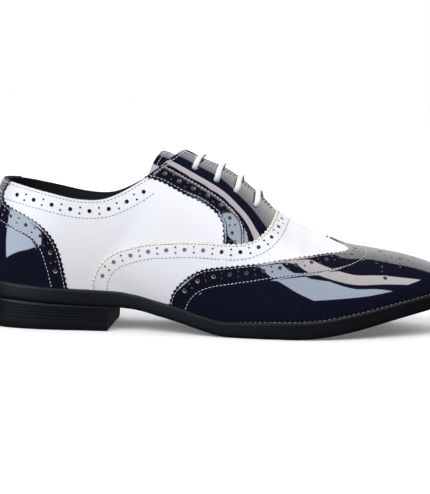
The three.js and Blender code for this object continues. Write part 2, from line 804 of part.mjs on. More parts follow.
// A flat lace swept along a path. Each step has its place and the way its flat side faces.
function laceRun(path) {
  const sides = 6;
  const last = path.length - 1;
  const points = path.flatMap(({ place, face }, i) => {
    const along = path[Math.min(i + 1, last)].place.clone().sub(path[Math.max(i - 1, 0)].place);
    const across = along.cross(face).normalize();
    return Array.from({ length: sides }, (unused, k) => {
      const turn = (FULL_TURN * k) / sides;
      return place
        .clone()
        .addScaledVector(across, (laceWidth / 2) * Math.cos(turn))
        .addScaledVector(face, (laceThickness / 2) * Math.sin(turn));
    });
  });
  const triangles = [];
  for (let i = 0; i < last; i += 1) {
    for (let k = 0; k < sides; k += 1) {
      const next = (k + 1) % sides;
      const [a, b] = [i * sides + k, i * sides + next];
      triangles.push([a, b, b + sides], [a, b + sides, a + sides]);
    }
  }
  for (let k = 1; k + 1 < sides; k += 1) {
    triangles.push([0, k + 1, k], [last * sides, last * sides + k, last * sides + k + 1]);
  }
  return toSolid(closedGeometry(points, triangles));
}

// A bar: up through the outer eyelet, over the throat and down through the inner one.
// It turns over the eyelet's edge round a cut corner.
function laceBar({ outer, inner }) {
  const stepsOver = 3;
  const corner = laceThickness;
  const cut = 0.3 * corner;
  const leg = (hole, towards) => {
    const normal = skinNormal(hole.angle, hole.climb);
    const base = rib(hole.angle, hole.climb);
    const next = overThroat(hole, 1 / stepsOver);
    const inwards = next.clone().sub(base.clone().addScaledVector(normal, laceRise)).normalize();
    const up = (lift, shift) => base.clone().addScaledVector(normal, lift).addScaledVector(inwards, shift);
    const steps = [
      { place: up(-laceDepth, 0), face: inwards.clone().multiplyScalar(-1) },
      { place: up(laceRise - corner, 0), face: inwards.clone().multiplyScalar(-1) },
      { place: up(laceRise - cut, cut), face: normal.clone().sub(inwards).normalize() },
      { place: up(laceRise, corner), face: normal },
    ];
    return towards ? steps : steps.reverse();
  };
  const side = (hole) =>
    Array.from({ length: stepsOver - 1 }, (unused, i) => {
      const share = (i + 1) / stepsOver;
      const climb = THREE.MathUtils.lerp(hole.climb, 1, share);
      return { place: overThroat(hole, share), face: skinNormal(hole.angle, climb) };
    });
  const top = { place: overThroat(outer, 1), face: skinNormal(outer.angle, 1) };
  return laceRun([...leg(outer, true), ...side(outer), top, ...side(inner).reverse(), ...leg(inner, false)]);
}

// A point of a bar over the throat, from its eyelet to the ridge.
function overThroat({ angle, climb }, share) {
  return skinPoint(angle, THREE.MathUtils.lerp(climb, 1, share), laceRise);
}

// A run under the facing, from one eyelet to the next on the same side.
function laceUnder(from, to) {
  const steps = 3;
  return laceRun(
    Array.from({ length: steps + 1 }, (unused, i) => {
      const angle = THREE.MathUtils.lerp(from.angle, to.angle, i / steps);
      const climb = THREE.MathUtils.lerp(from.climb, to.climb, i / steps);
      return { place: skinPoint(angle, climb, -laceDepth), face: skinNormal(angle, climb) };
    }),
  );
}

// Straight lacing: a bar over each pair of eyelets. Under the facings the two ends climb to the top pair.
function laceGeometry() {
  const bars = eyelets.map(laceBar);
  const inner = [0, 1, 2].map((i) => laceUnder(eyelets[i].inner, eyelets[i + 1].inner));
  const outer = [0, 2].map((i) => laceUnder(eyelets[i].outer, eyelets[i + 1].outer));
  return toGeometry([...bars, ...inner, ...outer].reduce((all, run) => all.add(run)));
}

const navyPatent = { color: 0x10122a, roughness: 0.08, metalness: 0 };
const whiteLeather = { color: 0xe9ebee, roughness: 0.3, metalness: 0 };
const blackSole = { color: 0x14171a, roughness: 0.45, metalness: 0 };
const blackLining = { color: 0x0d0d0f, roughness: 0.85, metalness: 0 };
const whiteLace = { color: 0xf1f1ee, roughness: 0.7, metalness: 0 };

const shoe = new THREE.Group();
function addPiece(name, geometry, finish) {
  const piece = new THREE.Mesh(geometry, new THREE.MeshStandardMaterial(finish));
  piece.name = name;
  shoe.add(piece);
}
addPiece("outsole", outsoleGeometry(), blackSole);
addPiece("heel", heelGeometry(), blackSole);
addPiece("insole", insoleGeometry(), blackLining);
addPiece("upper", upperGeometry(), whiteLeather);
addPiece("wing_cap", capGeometry(), navyPatent);
addPiece("vamp", vampGeometry(), whiteLeather);
addPiece("heel_counter", counterGeometry(), navyPatent);
addPiece("facing_outer", facingGeometry(-1), navyPatent);
addPiece("facing_inner", facingGeometry(1), navyPatent);
addPiece("tongue", tongueGeometry(), navyPatent);
addPiece("lace", laceGeometry(), whiteLace);

// The shoe stands on the floor with its middle over the origin.
const bounds = new THREE.Box3().setFromObject(shoe);
const middle = bounds.getCenter(new THREE.Vector3());
shoe.position.set(-middle.x, -middle.y, -bounds.min.z);

export default shoe;
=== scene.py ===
"""The looks of a spectator shoe: a laced full brogue in navy patent and white leather.

Every leather panel is cut on the skin of one last. The last is worked out in millimetres in its own
frame, with the back of the sole at x = 0, and goes to the row frame in metres when a mesh is made.
A place on the skin is an angle round the shoe, from the heel by the outer side to the toe and back,
and a climb, from 0 at the sole to 1 at the ridge over the instep.
"""

import bpy
import numpy as np
from bpy.props import FloatProperty, FloatVectorProperty, PointerProperty
from bpy.types import Operator, Panel, PropertyGroup
from mathutils import Matrix, Vector
from mathutils.geometry import delaunay_2d_cdt


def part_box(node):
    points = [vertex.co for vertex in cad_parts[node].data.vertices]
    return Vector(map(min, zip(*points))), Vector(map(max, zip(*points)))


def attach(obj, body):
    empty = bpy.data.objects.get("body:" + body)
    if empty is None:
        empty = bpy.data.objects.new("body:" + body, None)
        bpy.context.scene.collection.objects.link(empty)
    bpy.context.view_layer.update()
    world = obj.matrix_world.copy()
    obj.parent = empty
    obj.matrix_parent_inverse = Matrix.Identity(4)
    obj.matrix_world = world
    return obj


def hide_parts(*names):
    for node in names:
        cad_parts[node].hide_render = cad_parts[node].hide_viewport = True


bl_info = {
    "name": "Spectator Shoe",
    "version": (1, 0, 0),
    "blender": (4, 5, 0),
    "location": "3D View > Sidebar > Shoe",
    "description": "Dresses the packed model of a spectator shoe in patent leather, stitching and laces",
    "category": "Add Mesh",
}

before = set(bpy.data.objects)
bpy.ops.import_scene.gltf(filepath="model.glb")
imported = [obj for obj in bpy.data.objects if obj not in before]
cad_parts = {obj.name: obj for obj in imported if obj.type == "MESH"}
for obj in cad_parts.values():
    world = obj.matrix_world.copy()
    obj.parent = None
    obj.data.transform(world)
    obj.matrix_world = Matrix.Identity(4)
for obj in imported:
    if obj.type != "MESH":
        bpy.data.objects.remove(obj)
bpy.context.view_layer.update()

MM = 1000.0
FULL_TURN = 2 * np.pi
BODY = "root"


# Tables of the last, shares of the named sizes


def columns(names, *rows):
    """A table's rows as one array for each named column."""
    return dict(zip(names.split(), np.array(rows, float).T))


outsole_low, outsole_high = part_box("outsole")
SOLE_LENGTH = (outsole_high.x - outsole_low.x) * MM
BALL_WIDTH = 104.0
HEEL_HEIGHT = 20.0
TOE_SPRING = 20.0
SOLE_THICKNESS = 11.0
INSTEP_HEIGHT = 115.0
BACK_HEIGHT = 96.0
TOE_SWING = 6.0
WELT_MARGIN = 4.0
SIDE_RELIEF = 1.0
UPPER_WALL = 2.2
TONGUE_WALL = 2.0
SOCK_THICKNESS = 2.5
THROAT_GAP_TOP = 9.0
THROAT_GAP_BOTTOM = 3.0
THROAT_TOP_AT = 0.43
THROAT_BOTTOM_AT = 0.61
SEAT_GAP = 0.12

STATIONS = columns(
    "edge margin ridge bulge rise shoulder",
    (0.0, 0.55, 0.2, 0.062, 0.27, 0.86),
    (-0.245, 0.55, 0.226, 0.062, 0.29, 0.86),
    (-0.335, 0.55, 0.292, 0.058, 0.31, 0.84),
    (-0.338, 0.6, 0.375, 0.055, 0.32, 0.76),
    (-0.44, 0.8, 0.515, 0.052, 0.32, 0.66),
    (-0.497, 1.0, 0.66, 0.05, 0.32, 0.62),
    (-0.355, 1.0, 0.778, 0.045, 0.34, 0.58),
    (-0.165, 1.0, 0.822, 0.044, 0.36, 0.58),
    (0.05, 1.0, 0.836, 0.043, 0.38, 0.6),
    (0.25, 1.0, 0.822, 0.044, 0.36, 0.58),
    (0.44, 1.0, 0.778, 0.045, 0.34, 0.58),
    (0.497, 1.0, 0.66, 0.05, 0.32, 0.62),
    (0.33, 0.8, 0.515, 0.055, 0.32, 0.66),
    (0.285, 0.6, 0.375, 0.058, 0.32, 0.78),
    (0.33, 0.55, 0.292, 0.058, 0.31, 0.84),
    (0.245, 0.55, 0.226, 0.062, 0.29, 0.86),
)
SOLE_ROWS = columns(
    "at heel spring thick",
    (0, 1, 0, 1.01),
    (0.18, 0.83, 0, 0.92),
    (0.3, 0.775, 0, 0.92),
    (0.335, 0.735, 0, 0.84),
    (0.385, 0.56, 0, 0.83),
    (0.43, 0.39, 0, 0.86),
    (0.475, 0.185, 0, 0.84),
    (0.515, 0.03, 0, 0.84),
    (0.54, 0, 0, 0.86),
    (0.6, 0, 0, 0.93),
    (0.68, 0, 0, 1),
    (0.73, 0, 0.07, 1),
    (0.78, 0, 0.205, 1),
    (0.82, 0, 0.355, 0.96),
    (0.875, 0, 0.58, 0.92),
    (0.925, 0, 0.76, 0.88),
    (1, 0, 1, 0.85),
)
RIDGE_ROWS = columns(
    "at up",
    (0.14, 1.085),
    (0.28, 1.085),
    (0.36, 1.045),
    (0.43, 0.983),
    (0.465, 0.94),
    (0.525, 0.866),
    (0.55, 0.812),
    (0.586, 0.735),
    (0.618, 0.645),
    (0.67, 0.562),
    (0.728, 0.497),
    (0.765, 0.463),
    (0.8, 0.449),
    (0.845, 0.432),
    (0.9, 0.415),
    (1, 0.39),
)
COLLAR_ROWS = columns(
    "at up",
    (-0.02, 0.995),
    (0.04, 0.984),
    (0.074, 0.965),
    (0.123, 0.93),
    (0.169, 0.898),
    (0.2, 0.877),
    (0.24, 0.866),
    (0.262, 0.87),
    (0.285, 0.893),
    (0.314, 0.939),
    (0.337, 0.982),
    (0.362, 1.042),
    (0.386, 1.1),
    (0.407, 1.155),
    (0.43, 1.195),
)


def hermite(place, x, y, slope):
    """A cubic through (x, y) with the given slopes, held at its ends."""
    place = np.clip(place, x[0], x[-1])
    i = np.clip(np.searchsorted(x, place, side="right") - 1, 0, len(x) - 2)
    width = x[i + 1] - x[i]
    t = (place - x[i]) / width
    u = 1 - t
    rise = y[i] * (1 + 2 * t) * u * u + y[i + 1] * t * t * (3 - 2 * t)
    return rise + width * t * u * (slope[i] * u - slope[i + 1] * t)


def monotone_slopes(x, y):
    """Slopes that keep a cubic between its knots: weighted harmonic means of the chords, 0 at a turn."""
    width = np.diff(x)
    chord = np.diff(y) / width
    slope = np.zeros_like(y)
    slope[0], slope[-1] = chord[0], chord[-1]
    before, after = chord[:-1], chord[1:]
    w1, w2 = 2 * width[1:] + width[:-1], width[1:] + 2 * width[:-1]
    same = before * after > 0
    slope[1:-1][same] = (w1 + w2)[same] / (w1[same] / before[same] + w2[same] / after[same])
    return slope


def blurred(values, sigma):
    """Values smoothed by a Gaussian of sigma samples. The ends must be padded by the caller."""
    reach = int(3 * sigma)
    weights = np.exp(-0.5 * (np.arange(-reach, reach + 1) / sigma) ** 2)
    return np.convolve(values, weights / weights.sum(), mode="valid")


def soft_line(x, y, softness):
    """A curve through a table, sampled finely and blurred, so that reflections in it run smoothly."""
    count = 600
    fine = np.linspace(x[0], x[-1], count)
    values = hermite(fine, x, y, monotone_slopes(x, y))
    sigma = softness / (fine[1] - fine[0])
    reach = int(3 * sigma)
    before = 2 * values[0] - values[reach:0:-1]
    after = 2 * values[-1] - values[-2 : -2 - reach : -1]
    values = blurred(np.concatenate([before, values, after]), sigma)
    slope = np.gradient(values, fine)
    return lambda place: hermite(place, fine, values, slope)


def soft_ring(column, softness):
    """The same for a column of STATIONS, which lie an equal angle apart on a closed ring."""
    count, fold = len(column), 48
    place = np.arange(count * fold) / fold
    i = np.floor(place).astype(int)
    t = place - i
    a, b, c, d = (column[(i + k) % count] for k in (-1, 0, 1, 2))
    values = b + 0.5 * t * (c - a + t * (2 * a - 5 * b + 4 * c - d + t * (3 * (b - c) + d - a)))
    sigma = softness / FULL_TURN * len(values)
    reach = int(3 * sigma)
    values = blurred(np.concatenate([values[-reach:], values, values[:reach]]), sigma)
    fine = np.linspace(0, FULL_TURN, len(values) + 1)
    closed = np.append(values, values[0])
    slope = np.gradient(closed, fine)
    slope[0] = slope[-1] = (closed[1] - closed[-2]) / (2 * fine[1])
    return lambda angle: hermite(np.mod(angle, FULL_TURN), fine, closed, slope)


STATION_SOFTNESS = np.radians(6)
ring = {key: soft_ring(column, STATION_SOFTNESS) for key, column in STATIONS.items()}
heel_share = soft_line(SOLE_ROWS["at"], SOLE_ROWS["heel"], 0.009)
spring_share = soft_line(SOLE_ROWS["at"], SOLE_ROWS["spring"], 0.012)
thick_share = soft_line(SOLE_ROWS["at"], SOLE_ROWS["thick"], 0.012)
ridge_share = soft_line(RIDGE_ROWS["at"], RIDGE_ROWS["up"], 0.014)
collar_share = soft_line(COLLAR_ROWS["at"], COLLAR_ROWS["up"], 0.01)


def sole_bottom(x):
    share = x / SOLE_LENGTH
    return HEEL_HEIGHT * heel_share(share) + TOE_SPRING * spring_share(share)


def sole_top(x):
    return sole_bottom(x) + SOLE_THICKNESS * thick_share(x / SOLE_LENGTH)


def ridge_height(x):
    return INSTEP_HEIGHT * ridge_share(x / SOLE_LENGTH)


def ridge_side(x):
    return TOE_SWING * np.clip(x / SOLE_LENGTH, 0, 1) ** 2


def collar_height(x):
    return BACK_HEIGHT * collar_share(x / SOLE_LENGTH)


ANGLE_STEP = 1e-3


def sole_edge(angle):
    along = SOLE_LENGTH * (1 - np.cos(angle)) / 2
    return np.stack([along, BALL_WIDTH * ring["edge"](angle)], -1)


def edge_point(angle, out):
    """The sole's edge in plan, moved outwards by a distance."""
    along = sole_edge(angle + ANGLE_STEP) - sole_edge(angle - ANGLE_STEP)
    way = np.stack([along[..., 1], -along[..., 0]], -1)
    way /= np.linalg.norm(way, axis=-1, keepdims=True)
    return sole_edge(angle) + way * np.asarray(out)[..., None], way


def feather(angle):
    """Where the upper meets the sole, and the way out there in plan."""
    plan, way = edge_point(angle, -WELT_MARGIN * ring["margin"](angle))
    return np.concatenate([plan, (sole_top(plan[..., 0]) + SEAT_GAP)[..., None]], -1), way


def ridge_point(angle):
    x = SOLE_LENGTH * ring["ridge"](angle)
    return np.stack([x, ridge_side(x), ridge_height(x)], -1)


def ridge_slope(x):
    step = 0.5
    return (ridge_height(x + step) - ridge_height(x - step)) / (2 * step)


def folded(angle, climb):
    """A climb past the ridge is a climb down the other side."""
    angle, climb = np.broadcast_arrays(np.asarray(angle, float), np.asarray(climb, float))
    past = climb > 1
    return np.where(past, FULL_TURN - angle, angle), np.where(past, 2 - climb, climb)


def rib(angle, climb):
    """A cubic curve from the feather edge, out over the bulge and in along the shoulder to the ridge."""
    angle, climb = folded(angle, climb)
    foot, _ = feather(angle)
    top = ridge_point(angle)
    reach = top[..., :2] - foot[..., :2]
    span = np.linalg.norm(reach, axis=-1, keepdims=True)
    height = top[..., 2] - foot[..., 2]
    bulge = foot.copy()
    bulge[..., :2] -= reach / span * (BALL_WIDTH * ring["bulge"](angle))[..., None]
    bulge[..., 2] += height * ring["rise"](angle)
    level = ring["shoulder"](angle)
    shoulder = top.copy()
    shoulder[..., :2] -= reach * level[..., None]
    shoulder[..., 2] -= ridge_slope(top[..., 0]) * reach[..., 0] * level
    t = climb[..., None]
    u = 1 - t
    return foot * u**3 + 3 * bulge * t * u * u + 3 * shoulder * t * t * u + top * t**3


def tangents(angle, climb):
    """How the skin runs with the angle and with the climb, in mm for each unit."""
    round_way = rib(angle + ANGLE_STEP, climb) - rib(angle - ANGLE_STEP, climb)
    low, high = np.maximum(climb - ANGLE_STEP, 0), np.minimum(climb + ANGLE_STEP, 1)
    up_way = (rib(angle, high) - rib(angle, low)) / (high - low)[..., None]
    return round_way / (2 * ANGLE_STEP), up_way


def skin_normal(angle, climb):
    """The way out of the skin: the cross product of its tangents, or of the ridge's own slope on it."""
    angle, climb = folded(angle, climb)
    round_way, up_way = tangents(angle, climb)
    normal = np.cross(round_way, up_way)
    slope = ridge_slope(ridge_point(angle)[..., 0])
    on_ridge = np.stack([-slope, 0 * slope, 1 + 0 * slope], -1)
    normal = np.where((climb > 1 - ANGLE_STEP)[..., None], on_ridge, normal)
    return normal / np.linalg.norm(normal, axis=-1, keepdims=True)


# Soft creases, seen from the side: their middle, lean from upright in degrees, and mm
CREASES = columns(
    "at up lean reach width depth",
    (0.65, 0.53, -10, 17, 3.2, -0.24),
    (0.667, 0.51, -10, 16, 3.0, 0.1),
    (0.69, 0.48, -8, 15, 3.4, -0.2),
    (0.335, 0.62, 38, 20, 5.5, -0.28),
    (0.295, 0.47, 52, 18, 6.5, -0.22),
    (0.3, 0.27, -58, 15, 4.5, -0.3),
    (0.46, 0.6, 30, 15, 5.0, -0.22),
    (0.1, 0.42, 18, 17, 8.0, -0.08),
)


def crease_height(points):
    """How far the creases raise the leather at points, mm."""
    height = np.zeros(points.shape[:-1])
    for at, up, lean, reach, width, depth in zip(*CREASES.values()):
        forward, rise = points[..., 0] - at * SOLE_LENGTH, points[..., 2] - up * INSTEP_HEIGHT
        sine, cosine = np.sin(np.radians(lean)), np.cos(np.radians(lean))
        off, along = (forward * cosine - rise * sine) / width, (forward * sine + rise * cosine) / reach
        height += depth * np.exp(-(off**2) - along**4)
    return height


def creased_normal(angle, climb):
    """The skin's normal, tilted by the slope of the creases along the skin."""
    normal = skin_normal(angle, climb)
    points = rib(angle, climb)
    slope = np.zeros_like(points)
    for axis in (0, 2):
        step = np.zeros(3)
        step[axis] = 0.2
        slope[..., axis] = (crease_height(points + step) - crease_height(points - step)) / 0.4
    slope -= normal * (slope * normal).sum(-1, keepdims=True)
    normal = normal - slope
    return normal / np.linalg.norm(normal, axis=-1, keepdims=True)


def skin(angle, climb, lift):
    """A point at a distance over the creased skin. Over the welt it moves level, and its foot stays seated."""
    way = skin_normal(angle, climb)
    way[..., 2] = np.maximum(way[..., 2], 0)
    way /= np.linalg.norm(way, axis=-1, keepdims=True)
    point = rib(angle, climb)
    point = point + way * (np.asarray(lift, float) + crease_height(point))[..., None]
    seated = sole_top(point[..., 0]) + SEAT_GAP
    point[..., 2] = np.where(np.asarray(climb) <= 0, seated, point[..., 2])
    return point


def layout(angle, climb):
    """The skin rolled out flat: ribs are straight lines from a widened sole outline to the ridge."""
    angle, climb = folded(angle, climb)
    foot, way = feather(angle)
    top = ridge_point(angle)
    wide = foot[..., :2] + way * (top[..., 2] - foot[..., 2])[..., None]
    t = climb[..., None]
    return wide * (1 - t) + top[..., :2] * t


def steps_for(angle, climb, move):
    """The change of angle and climb that moves a place by a vector in mm along the skin."""
    round_way, up_way = tangents(*folded(angle, climb))
    turned = np.asarray(climb) > 1
    a = (round_way**2).sum(-1)
    b = (round_way * up_way).sum(-1)
    c = (up_way**2).sum(-1)
    p = (round_way * move).sum(-1)
    q = (up_way * move).sum(-1)
    det = a * c - b * b
    round_step, up_step = (c * p - b * q) / det, (a * q - b * p) / det
    sign = np.where(turned, -1, 1)
    return sign * round_step, sign * up_step


def angle_at_ridge(share):
    """The angle on the outer side at which the ribs meet the ridge at a share of the length."""
    angles = np.linspace(0, np.pi, 2000)
    return float(np.interp(share, ring["ridge"](angles), angles))


THROAT_TOP = angle_at_ridge(THROAT_TOP_AT)
THROAT_BOTTOM = angle_at_ridge(THROAT_BOTTOM_AT)


def throat_half(x):
    down = (x / SOLE_LENGTH - THROAT_TOP_AT) / (THROAT_BOTTOM_AT - THROAT_TOP_AT)
    return (THROAT_GAP_TOP + (THROAT_GAP_BOTTOM - THROAT_GAP_TOP) * np.clip(down, 0, 1)) / 2


def climb_end(angle):
    """How far up the leather reaches: to the collar, to the throat's edge or to the ridge."""
    angle = np.mod(np.asarray(angle, float), FULL_TURN)
    outer = np.minimum(angle, FULL_TURN - angle)

    def past(climb):
        point = rib(angle, climb)
        x, y, z = np.moveaxis(point, -1, 0)
        over_collar = z - collar_height(x)
        in_throat = throat_half(x) - np.abs(y - ridge_side(x))
        in_throat = np.where(outer < THROAT_TOP, -1, in_throat)
        reached = np.maximum(over_collar, in_throat)
        return np.where(outer >= THROAT_BOTTOM, climb - 1, reached)

    tries = np.linspace(0, 1, 81)
    reached = np.stack([past(np.full_like(angle, climb)) >= 0 for climb in tries])
    first = np.where(reached.any(0), reached.argmax(0), len(tries) - 1)
    low, high = tries[np.maximum(first - 1, 0)], tries[first]
    for _ in range(24):
        middle = (low + high) / 2
        beyond = past(middle) >= 0
        high = np.where(beyond, middle, high)
        low = np.where(beyond, low, middle)
    return np.where(outer >= THROAT_BOTTOM, 1.0, high)


# Lines on the skin: seams, edges and rows of stitches


class Run:
    """A line on the skin, kept as places an even distance apart."""

    STEP = 0.5

    def __init__(self, angle, climb, step=None):
        angle, climb = np.asarray(angle, float), np.asarray(climb, float)
        length = self.lengths(angle, climb)
        count = max(int(round(length[-1] / (step or self.STEP))), 2)
        place = np.linspace(0, length[-1], count + 1)
        self.angle = np.interp(place, length, angle)
        self.climb = np.interp(place, length, climb)
        self.length = self.lengths(self.angle, self.climb)

    @staticmethod
    def lengths(angle, climb):
        hops = np.linalg.norm(np.diff(rib(angle, climb), axis=0), axis=-1)
        return np.concatenate([[0], np.cumsum(hops)])

    @property
    def total(self):
        return self.length[-1]

    def at(self, place):
        return np.interp(place, self.length, self.angle), np.interp(place, self.length, self.climb)

    def part(self, start, end):
        place = np.arange(start, end, self.STEP)
        return Run(*self.at(place))

    def reversed(self):
        return Run(self.angle[::-1], self.climb[::-1])

    def ways(self, place):
        """Along the line, across it to its left as seen from outside, and out of the skin."""
        ahead, behind = self.at(place + self.STEP), self.at(place - self.STEP)
        along = rib(*ahead) - rib(*behind)
        along /= np.linalg.norm(along, axis=-1, keepdims=True) + 1e-9
        out = skin_normal(*self.at(place))
        left = np.cross(out, along)
        return along, left / np.linalg.norm(left, axis=-1, keepdims=True), out

    def moved(self, distance, place=None):
        """Angles and climbs of the line moved to its left along the skin, by short steps."""
        place = self.length if place is None else np.asarray(place, float)
        angle, climb = self.at(place)
        _, left, _ = self.ways(place)
        distance = np.broadcast_to(np.asarray(distance, float), place.shape)
        count = max(int(np.ceil(np.abs(distance).max() / 1.5)), 1)
        for _ in range(count):
            out = skin_normal(angle, climb)
            flat = left - out * (left * out).sum(-1, keepdims=True)
            flat /= np.linalg.norm(flat, axis=-1, keepdims=True)
            turn, rise = steps_for(angle, climb, flat * (distance / count)[:, None])
            angle, climb = angle + turn, np.maximum(climb + rise, 0)
        return angle, climb

    def beside(self, distance, keep_side=True):
        """The line moved to its left, without what crosses the ridge."""
        angle, climb = self.moved(distance)
        kept = np.linalg.norm(rib(angle, climb) - rib(self.angle, self.climb), axis=-1) < 1.5 * abs(distance) + 0.2
        if keep_side:
            kept &= climb <= 1
        return Run(angle[kept], climb[kept])


def locate(knots, inner):
    """Places on the skin from knots (at, value, kind). at is a share of the sole length.

    kind "up" has a height in mm as seen from the side, and "in" a distance in mm from the ridge
    line as seen from above. It starts at the nearest place of a coarse grid and follows the
    tangents to the knot.
    """
    at = np.array([knot[0] for knot in knots]) * SOLE_LENGTH
    value = np.array([knot[1] for knot in knots], float)
    from_side = np.array([knot[2] == "up" for knot in knots])
    side = 1.0 if inner else -1.0

    def seen(angle, climb):
        x, y, z = np.moveaxis(rib(angle, climb), -1, 0)
        level = np.where(from_side, z, side * (y - ridge_side(x)))
        return np.stack(np.broadcast_arrays(x, level), -1)

    goal = np.stack([at, value], -1)
    angles = np.radians(np.linspace(1, 179, 120))
    if inner:
        angles = FULL_TURN - angles
    grid_angle, grid_climb = np.meshgrid(angles, np.linspace(0.01, 0.995, 60), indexing="ij")
    grid_angle, grid_climb = grid_angle.reshape(-1, 1), grid_climb.reshape(-1, 1)
    off = np.linalg.norm(seen(grid_angle, grid_climb) - goal, axis=-1)
    best = off.argmin(0)
    angle, climb = grid_angle[best, 0], grid_climb[best, 0]
    for _ in range(25):
        here = seen(angle, climb)
        by_angle = (seen(angle + ANGLE_STEP, climb) - here) / ANGLE_STEP
        by_climb = (seen(angle, climb - ANGLE_STEP) - here) / -ANGLE_STEP
        miss = goal - here
        det = by_angle[:, 0] * by_climb[:, 1] - by_angle[:, 1] * by_climb[:, 0]
        det = np.where(np.abs(det) < 1e-3, 1e-3, det)
        turn = (miss[:, 0] * by_climb[:, 1] - miss[:, 1] * by_climb[:, 0]) / det
        rise = (by_angle[:, 0] * miss[:, 1] - by_angle[:, 1] * miss[:, 0]) / det
        angle = angle + np.clip(turn, -0.05, 0.05)
        climb = np.clip(climb + np.clip(rise, -0.05, 0.05), 0, 1)
    return angle, climb


def smooth_run(angle, climb):
    """A smooth line through places: cubics over the chord length, with slopes by finite differences."""
    length = Run.lengths(angle, climb)
    fine = np.linspace(0, length[-1], 400)
    slopes = [np.gradient(values, length) for values in (angle, climb)]
    return Run(hermite(fine, length, angle, slopes[0]), hermite(fine, length, climb, slopes[1]))


def seam(knots, inner, seated=True):
    """A seam's line from its knots, starting on the sole where it is seated."""
    angle, climb = locate(knots, inner)
    if seated:
        climb[0] = 0
    return smooth_run(angle, climb)


def instep(*rows):
    return [(at, up * INSTEP_HEIGHT, "up") for at, up in rows]


def back(*rows):
    return [(at, up * BACK_HEIGHT, "up") for at, up in rows]


def from_ridge(*rows):
    return [(at, across * BALL_WIDTH, "in") for at, across in rows]


CAP_KNOTS = instep(
    (0.4085, 0.163),
    (0.4133, 0.216),
    (0.4211, 0.255),
    (0.438, 0.303),
    (0.4582, 0.342),
    (0.4813, 0.368),
    (0.504, 0.3785),
    (0.5336, 0.388),
    (0.5616, 0.396),
    (0.59, 0.4035),
    (0.623, 0.4148),
    (0.646, 0.4225),
    (0.6737, 0.4296),
) + from_ridge(
    (0.7017, 0.2875),
    (0.7297, 0.2332),
    (0.7578, 0.1665),
    (0.7678, 0.1283),
    (0.7708, 0.1037),
    (0.7676, 0.0832),
    (0.7561, 0.0574),
    (0.7431, 0.0345),
    (0.7323, 0.018),
    (0.722, 0.0),
)
CAP_ROW_KNOTS = instep(
    (0.4444, 0.1392),
    (0.4509, 0.18),
    (0.4607, 0.2184),
    (0.4736, 0.245),
    (0.4876, 0.2625),
    (0.5056, 0.2757),
    (0.5343, 0.2885),
    (0.5637, 0.301),
    (0.5915, 0.3128),
    (0.6194, 0.324),
    (0.648, 0.333),
    (0.6761, 0.3413),
) + from_ridge(
    (0.7035, 0.3848),
    (0.7318, 0.3533),
    (0.7598, 0.3103),
    (0.7883, 0.2422),
    (0.8057, 0.1762),
    (0.8109, 0.1123),
    (0.8076, 0.0723),
    (0.801, 0.03),
    (0.798, 0.0),
)
VAMP_KNOTS = instep(
    (0.2428, 0.228),
    (0.245, 0.288),
    (0.252, 0.338),
    (0.268, 0.4),
    (0.287, 0.438),
    (0.326, 0.477),
    (0.367, 0.501),
    (0.418, 0.512),
    (0.47, 0.515),
    (0.522, 0.506),
    (0.543, 0.504),
    (0.5652, 0.5085),
    (0.5832, 0.5253),
    (0.5968, 0.5527),
    (0.6066, 0.5835),
) + from_ridge((0.6128, 0.1858), (0.616, 0.0977), (0.6172, 0.04), (0.6175, 0.0))
FACING_KNOTS = instep(
    (0.35, 0.846),
    (0.39, 0.815),
    (0.414, 0.783),
    (0.438, 0.751),
    (0.461, 0.727),
    (0.485, 0.693),
    (0.505, 0.647),
    (0.515, 0.6),
    (0.517, 0.55),
    (0.518, 0.5),
    (0.519, 0.46),
)
FACING_ROW_KNOTS = instep(
    (0.375, 0.9235),
    (0.3919, 0.901),
    (0.4131, 0.8725),
    (0.4343, 0.8435),
    (0.4549, 0.8148),
    (0.4723, 0.7901),
    (0.4967, 0.7526),
    (0.515, 0.7189),
    (0.53, 0.6828),
    (0.5451, 0.6409),
    (0.5549, 0.5971),
    (0.5586, 0.5536),
    (0.5596, 0.5166),
    (0.56, 0.49),
)
COUNTER_KNOTS = back(
    (0.1965, 0.276),
    (0.189, 0.387),
    (0.176, 0.538),
    (0.164, 0.611),
    (0.134, 0.704),
    (0.116, 0.738),
    (0.077, 0.799),
    (0.06, 0.826),
    (0.054, 0.853),
    (0.053, 0.893),
    (0.059, 0.928),
    (0.068, 0.969),
)
COUNTER_ROW_KNOTS = back(
    (0.162, 0.276),
    (0.155, 0.371),
    (0.147, 0.455),
    (0.138, 0.533),
    (0.122, 0.599),
    (0.109, 0.627),
    (0.089, 0.652),
    (0.066, 0.688),
    (0.048, 0.713),
    (0.03, 0.745),
    (0.022, 0.79),
    (0.024, 0.85),
    (0.034, 0.915),
    (0.045, 0.968),
)
EYELETS = columns(
    "at climb",
    (0.463, 0.805),
    (0.5045, 0.785),
    (0.541, 0.79),
    (0.5775, 0.795),
)
MEDALLION_BIG = columns("degrees climb", (143, 0.638), (154.3, 0.689), (150.2, 0.859), (137.2, 0.401))
MEDALLION_SMALL = columns(
    "degrees climb",
    (137.4, 0.616),
    (137.2, 0.671),
    (140.7, 0.766),
    (147.1, 0.759),
    (149.4, 0.714),
    (150.2, 0.669),
    (158.4, 0.699),
    (148.7, 0.591),
    (146.6, 0.538),
    (138.4, 0.556),
    (137.4, 0.493),
    (157.6, 0.643),
    (156.9, 0.578),
)


